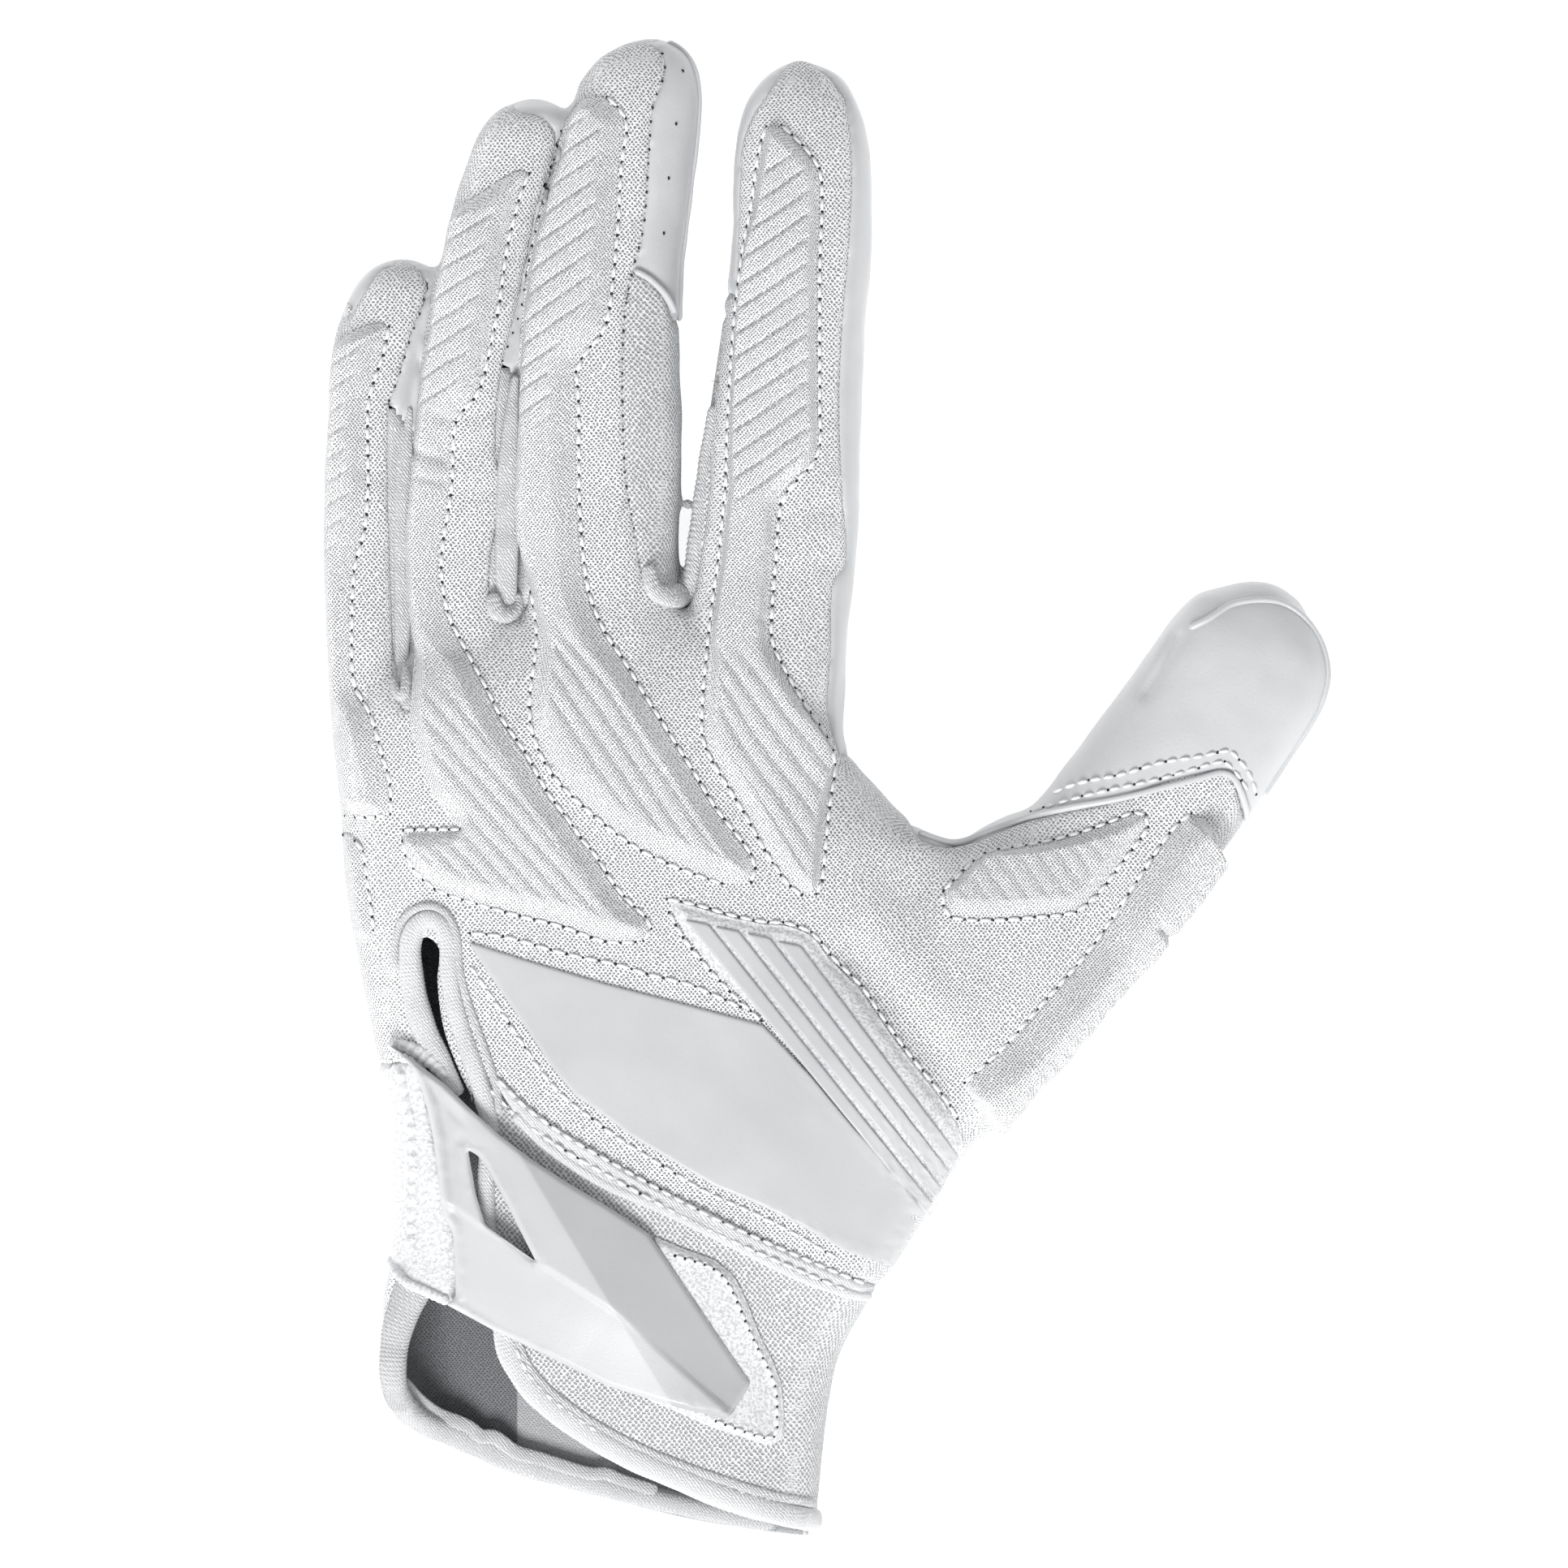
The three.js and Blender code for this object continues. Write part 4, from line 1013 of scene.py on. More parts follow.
middlePadRows = [
    [112.2, -39.6, -36.6], [108.5, -42.9, -33.5], [101.8, -44.9, -34.3], [88.6, -48.6, -35.1],
    [75.3, -50.2, -36.8], [72, -50.4, -39.2], [68, -50.6, -41.6], [63.4, -50.9, -41.3],
    [48.8, -51.1, -41.2], [39.6, -50.6, -40.7], [31.6, -48.4, -39.6], [25, -47.4, -37],
    [19.7, -47.8, -33.5], [14.4, -48.4, -30.3], [9.1, -47.8, -26.9], [2.5, -44.5, -22.7],
    [-4.2, -38.2, -18.6], [-9.5, -31.3, -14.4], [-12.8, -24, -12.5], [-15.6, -17.4, -13.1],
]
ringPadRows = [
    [100.2, -51.3, -49.4], [96.5, -57, -50.9], [93.2, -61.6, -51.7], [88.6, -63.3, -52.9],
    [79.3, -64.9, -54.2], [72.7, -65.9, -55.5], [64.7, -66.8, -57.5], [59.4, -67.3, -61.3],
    [48.8, -68.2, -62], [38.2, -69.2, -63.6], [32.9, -69.3, -63.5], [27.6, -68.3, -62.4],
    [22.3, -67.6, -59.8], [15.7, -67.8, -56.2], [10.4, -68.2, -53.5], [5.1, -66.9, -49.8],
    [-1.5, -64.6, -46.1], [-6.3, -61.2, -42.4], [-7.6, -68.9, -41.7], [-12.1, -68.9, -38],
    [-16.8, -63.7, -35], [-20.7, -50.5, -31.3], [-22.7, -42.5, -29.3], [-25, -36.6, -30.6],
]
pinkyPadRows = [
    [75.1, -75.4, -72.3], [71.4, -81.4, -73], [67.4, -82.1, -74.3], [62.1, -82.4, -75.7],
    [48.8, -82.8, -75.7], [41.5, -82.8, -76.3], [35.6, -82.9, -77.9], [25, -82.7, -78.3],
    [16.4, -82.2, -77.9], [11.7, -81.8, -75.3], [5.1, -81.1, -73.3], [-0.2, -80.2, -71.9],
    [-4.6, -77.4, -71.9],
]
indexPadRows = [
    [107.5, -9.7, -8.1], [104.5, -10.7, -4.9], [100.5, -11.4, -2], [93.9, -12.3, -1.6],
    [87.3, -13.6, -1.9], [75.3, -15, -2], [62.1, -15.9, -2], [54.1, -16.2, -2.3], [48.8, -16.3, -6.8],
    [46.2, -16.6, -8.3], [36.9, -17.5, -9.1], [29, -18.6, -9.7], [23.7, -19.2, -9.8],
    [19.7, -19.6, -8.1], [13.1, -20.1, -4.4], [7.8, -20.1, -0.8], [3.8, -18.3, 0.5],
    [-4.2, -13.4, -0.5], [-10.8, -9.7, -1.1], [-15.4, -6.5, -1.6], [-17.4, -4.1, -2.5],
]
sidePadRows = [
    [-7.9, -80, -78], [-10.1, -80.2, -76.1], [-13.4, -80, -75.7], [-17.4, -79.4, -75],
    [-21.4, -78.7, -74.3], [-25, -77.4, -74.6],
]
thumbPadLine = [(19.1, -17.4), (19.7, -20.7), (22.5, -21.4), (27.7, -21.4), (33, -21), (39.6, -20.3),
                (41.6, -19), (43.6, -17.2), (45.6, -14.8), (47.6, -12.1), (49.6, -9.5), (51.5, -6.8),
                (51.8, -5.5), (50.2, -4.6), (46.2, -6.2), (40.9, -8.1), (35.6, -9.5), (30.3, -10.5),
                (26.4, -11.1), (23.7, -12.8), (21.1, -15.4)]
thumbEdgeLine = [(59.1, -4.8), (56.8, -6.8), (54.2, -10.1), (50.2, -16.1), (42.9, -26.7), (34.3, -36.6),
                 (29, -42.6), (22.4, -48.6), (23.1, -50.5), (24.4, -53.2), (25.9, -56.6), (32.6, -52.4),
                 (37.8, -46.9), (43.6, -37.5), (48.2, -31.5), (51.4, -27.4), (52.4, -26.1), (55.2, -26),
                 (60.9, -18.3), (63.6, -12.2), (63.1, -9.5), (61.8, -6.2)]

padSettings = {
    "middle": {"lowest": 12.0, "levels": 2, "edgeTo": 3.3,
               "grooves": [(60, 109, 40, 2.77, 0.6)], "ridges": [(-13, 26, -56, 2.69, 0.6)]},
    "ring": {"lowest": 10.5, "levels": 2, "edgeTo": 3.1,
             "grooves": [(62, 97, 40, 2.88, 0.6)], "ridges": [(-21, 14, -49, 2.47, 0.6)],
             "puckers": [([(-62, 52.8), (-66, 54.5)], 0.9, 0.7), ([(-62.5, 49.5), (-65, 50)], 0.8, 0.5),
                         ([(-58.5, 57.5), (-63, 60.5)], 0.9, 0.5),
                         ([(-69.3, -7.1), (-65, -7.1), (-60, -7.1)], 0.8, 0.9)]},
    "pinky": {"lowest": 8.0, "levels": 2, "edgeTo": 2.5, "fullness": 0.85,
              "grooves": [(36, 73, 40, 2.8, 0.5)]},
    "index": {"lowest": 12.0, "levels": 2, "edgeTo": 2.1,
              "grooves": [(47, 103, 38, 3.02, 0.75)], "ridges": [(-15, 22, -57, 2.8, 0.6)],
              "puckers": [([(-10.5, 26.8), (-6.6, 25.2), (-2.6, 23.4)], 0.8, 0.45)]},
    "side": {"lowest": 14.0, "edgeTo": 2.0, "fullness": 0.6},
    "thumb": {"lowest": 10.0, "levels": 2, "edgeTo": 2.2, "fullness": 0.75,
              "ridges": [(-25, 0, -56, 2.74, 0.3)]},
    "thumb_edge": {"lowest": 8.0, "edgeTo": 2.3, "ridges": [(-60, 0, -40, 2.8, 0.17)], "fullness": 2.1,
                  "facing": (0.15, 0.62), "flatter": (0.2, 0.6),
                  "puckers": [([(56, -27), (53.4, -23.6), (51.6, -21.8)], 0.7, 1.3),
                              ([(43, -45), (40, -42.4), (38, -40.6)], 0.7, 0.5)]},
}
padOutlines = {
    "middle": bandOutline(middlePadRows, seamStep),
    "ring": bandOutline(ringPadRows, seamStep),
    "pinky": bandOutline(pinkyPadRows, seamStep),
    "index": bandOutline(indexPadRows, seamStep),
    "side": bandOutline(sidePadRows, seamStep),
    "thumb": curveThrough(thumbPadLine, seamStep, True),
    "thumb_edge": curveThrough(thumbEdgeLine, seamStep, True),
}
pads = [makePad(f"{place}_foam", f"{place}_pad", outline, padSettings[place])
        for place, outline in padOutlines.items()]


# Rubber and tape: pieces laid over the skin from above, with shaped edges

def layOver(name, outline, rise, low=0.05, step=0.6, insets=(0.15, 0.35, 0.65, 1.0), holes=(), relax=8):
    # A piece of one outline over the skin. rise gives its height from the distance to its edge.
    lines = [np.asarray(outline)] + [np.asarray(h) for h in holes]
    edge = np.vstack(lines)
    rim = [p for line in lines for p in line]
    edges, start = [], 0
    for line in lines:
        edges += [(start + i, start + (i + 1) % len(line)) for i in range(len(line))]
        start += len(line)
    tree = treeOf(edge)

    def awayFrom(p):
        return tree.find((p[0], p[1], 0.0))[2]

    def within(points):
        keep = inside(points, lines[0])
        for hole in lines[1:]:
            keep &= ~inside(points, hole)
        return keep

    extra = []
    for line in lines:
        before, after = np.roll(line, 1, 0), np.roll(line, -1, 0)
        along = after - before
        along /= np.maximum(np.linalg.norm(along, axis=1, keepdims=True), 1e-9)
        side = np.stack([-along[:, 1], along[:, 0]], 1)
        for inset in insets:
            for sign in (1, -1):
                moved = line + side * inset * sign
                keep = within(moved)
                extra += [p for p, k in zip(moved, keep) if k and awayFrom(p) > inset * 0.93]
    lowX, lowY = edge.min(0)
    highX, highY = edge.max(0)
    gx, gy = np.meshgrid(np.arange(lowX, highX, step), np.arange(lowY, highY, step))
    grid = np.stack([gx.ravel(), gy.ravel()], 1)
    grid = grid[within(grid)]
    extra += [p for p in grid if awayFrom(p) > insets[-1] + step * 0.4]
    flat = rim + extra
    net = delaunay_2d_cdt([Vector((p[0], p[1])) for p in flat], edges, [], 0, 1e-5)
    flat = np.array([(v.x, v.y) for v in net[0]])
    faces = np.array(net[2])
    faces = faces[within(flat[faces].mean(1))]
    used, index = np.unique(faces, return_inverse=True)
    faces = index.reshape(faces.shape)
    flat = flat[used]
    base = np.array([dropOn(skinTree, p[0], p[1], np.nan)[0] for p in flat])
    for i in np.nonzero(np.isnan(base))[0]:
        base[i] = skinTree.find_nearest(Vector((flat[i][0], flat[i][1], 14.0)))[0].z
    links = np.concatenate([faces[:, [0, 1]], faces[:, [1, 2]], faces[:, [2, 0]]])
    links = np.concatenate([links, links[:, ::-1]])
    for _ in range(relax):
        total = np.zeros(len(flat))
        number = np.zeros(len(flat))
        np.add.at(total, links[:, 0], base[links[:, 1]])
        np.add.at(number, links[:, 0], 1)
        base = 0.4 * base + 0.6 * total / np.maximum(number, 1)
    away = np.array([awayFrom(p) for p in flat])
    upper = np.column_stack([flat, base + rise(flat, away)])
    lower = np.column_stack([flat, base + low])
    count = len(flat)
    a, b, c = upper[faces[0, 0]], upper[faces[0, 1]], upper[faces[0, 2]]
    if np.cross(b[:2] - a[:2], c[:2] - a[:2]) < 0:
        faces = faces[:, ::-1]
    _, rimEdges = borderOf(faces)
    sides = [(b, a, a + count, b + count) for a, b in rimEdges]
    back = [tuple(f[::-1] + count) for f in faces]
    return newMesh(name, np.vstack([upper, lower]), [tuple(f) for f in faces] + sides + back)


def finishPiece(piece, material, nodes):
    piece.data.materials.append(material)
    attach(piece, "root")
    if nodes:
        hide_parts(*nodes)
    print("piece", piece.name, len(piece.data.polygons), "faces")
    return piece


def roundedEdge(height, rounding):
    # A flat top whose edge is rounded over
    def rise(points, away):
        t = np.clip(away / rounding, 0, 1)
        return height - rounding * 0.85 * (1 - np.sqrt(1 - (1 - t) ** 2))
    return rise


plateLine = [
    (-58.7, -25.4), (-55.8, -26.3), (-49.2, -28.4), (-42.5, -30.4), (-35.9, -32.3), (-22.7, -35.7),
    (-10.7, -38.9), (-2.8, -47.2), (3.8, -55.2), (10.5, -62.5), (15.8, -69.1), (15.8, -70.4),
    (10.5, -78.6), (2.5, -75.7), (-5.4, -71.1), (-12.1, -67.8), (-18.7, -65.1), (-25.3, -61.1),
    (-31.9, -57.2), (-37.2, -53.2), (-41.2, -50.5), (-44.5, -46.6), (-47.2, -42.6), (-49.8, -38.6),
    (-53.1, -34), (-55.8, -30),
]
ribFieldLine = [
    (-26, -18.5), (-21.3, -19.8), (-16, -21.4), (-10.7, -22.5), (-6.8, -22.7), (-3.4, -24),
    (-2.1, -25.1), (-0.1, -28), (5.2, -33.3), (7.8, -37.3), (13.1, -44.6), (18.4, -51.2), (20.4, -54.5),
    (21.8, -57.2), (22, -60.5), (16.4, -70.8), (3.8, -55), (-2.8, -46.3), (-10.1, -38.1), (-16, -32.7),
    (-21.3, -26.7), (-23.3, -24.1), (-25.3, -20.8),
]
# Four straight strips: the middle of the upper end, the middle of the lower end, and the widths there
ribStrips = [
    [(-21.5, -22.2), (16.4, -69.1), 2.5, 1.85],
    [(-16.6, -23.3), (17.9, -66.6), 2.5, 1.85],
    [(-11.5, -24.4), (19.2, -63.9), 2.5, 1.85],
    [(-6.5, -25.7), (20.6, -61.2), 2.5, 1.8],
]


def stripOutline(top, end, wideTop, wideEnd):
    # The upper end is cut along the border's slope and the lower one along the edge of the hand
    top, end = np.array(top, float), np.array(end, float)
    along = (end - top) / np.linalg.norm(end - top)
    cuts = []
    ends = ((top, wideTop, np.array([0.98, -0.2])), (end, wideEnd, np.array([0.48, 0.88])))
    for place, wide, cut in ends:
        reach = wide / 2 / abs(along[0] * cut[1] - along[1] * cut[0])
        cuts.append((place - cut * reach, place + cut * reach))
    return [cuts[0][0], cuts[1][0], cuts[1][1], cuts[0][1]]


tapeLine = [
    (-55.1, -46.6), (-52.5, -48.6), (-49.2, -51.9), (-43.9, -55.8), (-37.2, -59.8), (-29.3, -64.5),
    (-20, -69.1), (-9.4, -74.4), (2.5, -79.7), (7.4, -81.6), (6.6, -83), (3.8, -82.8), (-5.4, -79.7),
    (-16, -74.4), (-26.6, -69.1), (-35.9, -65.1), (-42.5, -61.1), (-50.5, -53.9),
]
strapLine = [
    (-71.7, -42.2), (-67.7, -44.6), (-62.4, -48.6), (-58.4, -52.5), (-53.1, -57.2), (-47.8, -61.1),
    (-42.5, -64.5), (-35.9, -68.4), (-29.3, -72.7), (-12.7, -97.3), (-16.3, -102.9), (-22.7, -101.5),
    (-29.3, -99.6), (-35.9, -97.6), (-42.5, -94.3), (-49.2, -91), (-54.2, -88.7), (-62.4, -84.3),
    (-60.7, -83.3), (-60.8, -78.4), (-61.1, -73.1), (-61.7, -71.5), (-62.7, -70.4), (-63.1, -67.8),
    (-63.7, -62.5), (-64.4, -57.2), (-65.5, -51.9), (-66.8, -47.9), (-68.4, -45.3), (-70.3, -43.5),
]
windowLine = [(-58.7, -59.2), (-57.1, -60.1), (-55.8, -61.7), (-51.8, -69.1), (-47.6, -77.3),
              (-55.8, -71.5), (-57.4, -66.4)]
patchLine = [
    (-28.6, -73.1), (-24, -75.1), (-18.7, -77), (-15.4, -79.7), (-13.4, -83.7), (-11.4, -89),
    (-9.4, -93), (-7.8, -97), (-7.3, -102.2), (-7.4, -106.2), (-9.4, -107.5), (-13.4, -106.2),
    (-18.7, -104.5), (-29.3, -99.8),
]

plateStyle = {"height": 0.7, "rounding": 0.5, "grid": 0.8}
ribStyle = {"height": 1.6, "rounding": 0.3, "foot": 0.8, "grid": 0.6}
fieldStyle = {"edge": 0.25, "rise": 0.75, "from": 0.3, "to": 1.6, "grid": 0.6}
tapeStyle = {"edge": 0.35, "rise": 0.75, "full": 0.8,
             "channel": 0.35, "channelAt": 1.6, "channelWidth": 0.35}
patchStyle = {"edge": 0.4, "rise": 0.8, "from": 0.1, "to": 0.9, "grid": 0.6}


def swollen(style):
    # A cloth that is thin at its edge and full further in
    def rise(points, away):
        return style["edge"] + style["rise"] * ease(away, style["from"], style["to"])
    return rise


def tapeRise(points, away):
    # A tape with a sewn channel along each edge
    channel = np.exp(-(((away - tapeStyle["channelAt"]) / tapeStyle["channelWidth"]) ** 2))
    full = tapeStyle["edge"] + tapeStyle["rise"] * ease(away, 0.0, tapeStyle["full"])
    return full - tapeStyle["channel"] * channel


plate = layOver("plate_rubber", cornered(plateLine, 0.5, 2),
                roundedEdge(plateStyle["height"], plateStyle["rounding"]), step=plateStyle["grid"])
finishPiece(plate, rubber, ["back_plate"])
field = layOver("rib_fabric", cornered(ribFieldLine, 0.5, 3), swollen(fieldStyle),
                step=fieldStyle["grid"])
finishPiece(field, hooks, ["rib_field"])
for number, strip in enumerate(ribStrips, 1):
    rib = layOver(f"rib_rubber_{number}", cornered(stripOutline(*strip), 0.4, 2),
                  roundedEdge(ribStyle["height"], ribStyle["rounding"]), low=ribStyle["foot"],
                  step=ribStyle["grid"], insets=(0.1, 0.25, 0.5))
    finishPiece(rib, rubber, [f"rubber_rib_{number}"])
tape = layOver("tape_twill", curveThrough(tapeLine, 0.5, True), tapeRise, step=0.5)
finishPiece(tape, ribTape, ["seam_tape"])
patch = layOver("patch_hooks", cornered(patchLine, 0.5, 3), swollen(patchStyle), step=patchStyle["grid"])
finishPiece(patch, hooks, ["hook_patch"])


strapStyle = {
    "height": 4.3, "fall": 0.17,  # of the lowest facet, at its upper side and downwards
    "meet": (-34.7, -85.5),  # where the three creases meet
    "creaseEnds": [(-47.6, -77.3), (-15.9, -102), (-43.9, -70.4)],  # lower left, lower right, upper
    "ridge": 0.7, "tip": 0.4, "tipFall": 0.22,
    "edge": 0.65, "edgeReach": 0.7,
    "rim": 0.55, "groove": 0.4,  # along the left end
    "foot": 0.9, "grid": 0.6, "relax": 40,
}


def besideLine(points, a, b):
    # Signed distance from the line through a and b, positive to its left
    a, b = np.array(a), np.array(b)
    d = (b - a) / np.linalg.norm(b - a)
    return d[0] * (points[:, 1] - a[1]) - d[1] * (points[:, 0] - a[0])


def strapRise(points, away):
    # A stiff strap: flat facets that meet at one place, a raised tip, an eased edge and a rim on its left
    style = strapStyle
    lowerLeft, lowerRight, upper = style["creaseEnds"]
    lower = np.maximum(besideLine(points, lowerLeft, style["meet"]),
                       besideLine(points, style["meet"], lowerRight))
    across = besideLine(points, upper, style["meet"])
    above = ease(lower, -0.35, 0.35)
    right = ease(across, -0.3, 0.3)
    body = style["height"] - style["fall"] * np.clip(-lower, 0, 12)
    body += above * (1 - right) * (style["ridge"] - 0.03 * np.clip(9 + across, 0, 9))
    body += above * right * (style["tip"] - style["tipFall"] * np.clip(across, 0, 14))
    body -= style["edge"] * (1 - ease(away, 0.0, style["edgeReach"])) ** 1.6
    rim = style["rim"] * np.exp(-(((away - 0.85) / 0.6) ** 2))
    rim -= style["groove"] * np.exp(-(((away - 2.5) / 0.6) ** 2))
    return body + rim * (1 - ease(points[:, 0], -62.5, -57.5))


strap = layOver("strap_rubber", cornered(strapLine, 0.5, 2), strapRise, low=strapStyle["foot"],
                step=strapStyle["grid"], holes=[cornered(windowLine, 0.5, 1)], relax=strapStyle["relax"])
finishPiece(strap, strapRubber, ["strap_tab"])


# Rolled edges: flat tubes that wrap the wall's edge, with fine ribs across

rollStyle = {"spacing": 0.22, "sides": 14, "smoothing": 24, "roundEnd": 0.8,
             "ribPitch": 0.66, "ribDepth": 0.07}


def profile(share, values):
    # One value all along, or several spread evenly over the length
    values = np.atleast_1d(values)
    return np.interp(share, np.linspace(0, 1, len(values)), values)


def bulge(value):
    # A little squarer than a circle
    return math.copysign(abs(value) ** 0.8, value)


def sweepRoll(name, style):
    # The guide is a line over the skin, of x and y or x, y and z. With "up" it stands free of the skin.
    places, ups = [], []
    for p in curveThrough(style["guide"], rollStyle["spacing"]):
        if "up" in style:
            places.append(Vector(p))
            ups.append(Vector(style["up"]))
            continue
        z = p[2] if len(p) == 3 else dropOn(skinTree, p[0], p[1], 14.0)[0]
        near, normal = skinTree.find_nearest(Vector((p[0], p[1], z)))[:2]
        places.append(near)
        ups.append(normal)
    places, ups = np.array(places), np.array(ups)
    for _ in range(rollStyle["smoothing"]):
        ups[1:-1] = (ups[:-2] + 2 * ups[1:-1] + ups[2:]) / 4
        places[1:-1] = (places[:-2] + 2 * places[1:-1] + places[2:]) / 4
    ups /= np.linalg.norm(ups, axis=1, keepdims=True)
    along = np.gradient(places, axis=0)
    along /= np.linalg.norm(along, axis=1, keepdims=True)
    total = np.concatenate([[0], np.cumsum(np.linalg.norm(np.diff(places, axis=0), axis=1))])
    wide = profile(total / total[-1], style["wide"])
    thick = profile(total / total[-1], style["thick"])
    ribPitch = style.get("ribPitch", rollStyle["ribPitch"])
    ribDepth = style.get("ribDepth", rollStyle["ribDepth"])
    sink = style.get("sink", 0.0)
    sides = rollStyle["sides"]
    points, faces = [], []
    for i in range(len(places)):
        across = np.cross(along[i], ups[i])
        across /= np.linalg.norm(across)
        over = np.cross(across, along[i])
        rib = 1 + ribDepth * math.sin(2 * math.pi * total[i] / ribPitch)
        rib += 0.05 * math.sin(total[i] * 0.9 + 1)
        close = min(1.0, total[i] / rollStyle["roundEnd"], (total[-1] - total[i]) / rollStyle["roundEnd"])
        size = math.sqrt(max(0.05, 1 - (1 - close) ** 2))
        for k in range(sides):
            turn = 2 * math.pi * k / sides
            cx = bulge(math.cos(turn)) * wide[i] * size * (0.7 + 0.3 * rib)
            cz = bulge(math.sin(turn)) * thick[i] * size * rib
            points.append(places[i] + across * cx + over * (cz - sink))
    for i in range(len(places) - 1):
        for k in range(sides):
            a, b = i * sides + k, i * sides + (k + 1) % sides
            faces.append((a, b, b + sides, a + sides))
    faces.append(tuple(range(sides - 1, -1, -1)))
    faces.append(tuple(range(len(points) - sides, len(points))))
    points = np.array(points)
    points[:, 2] = np.maximum(points[:, 2], 0.0)
    return newMesh(name, points, faces)


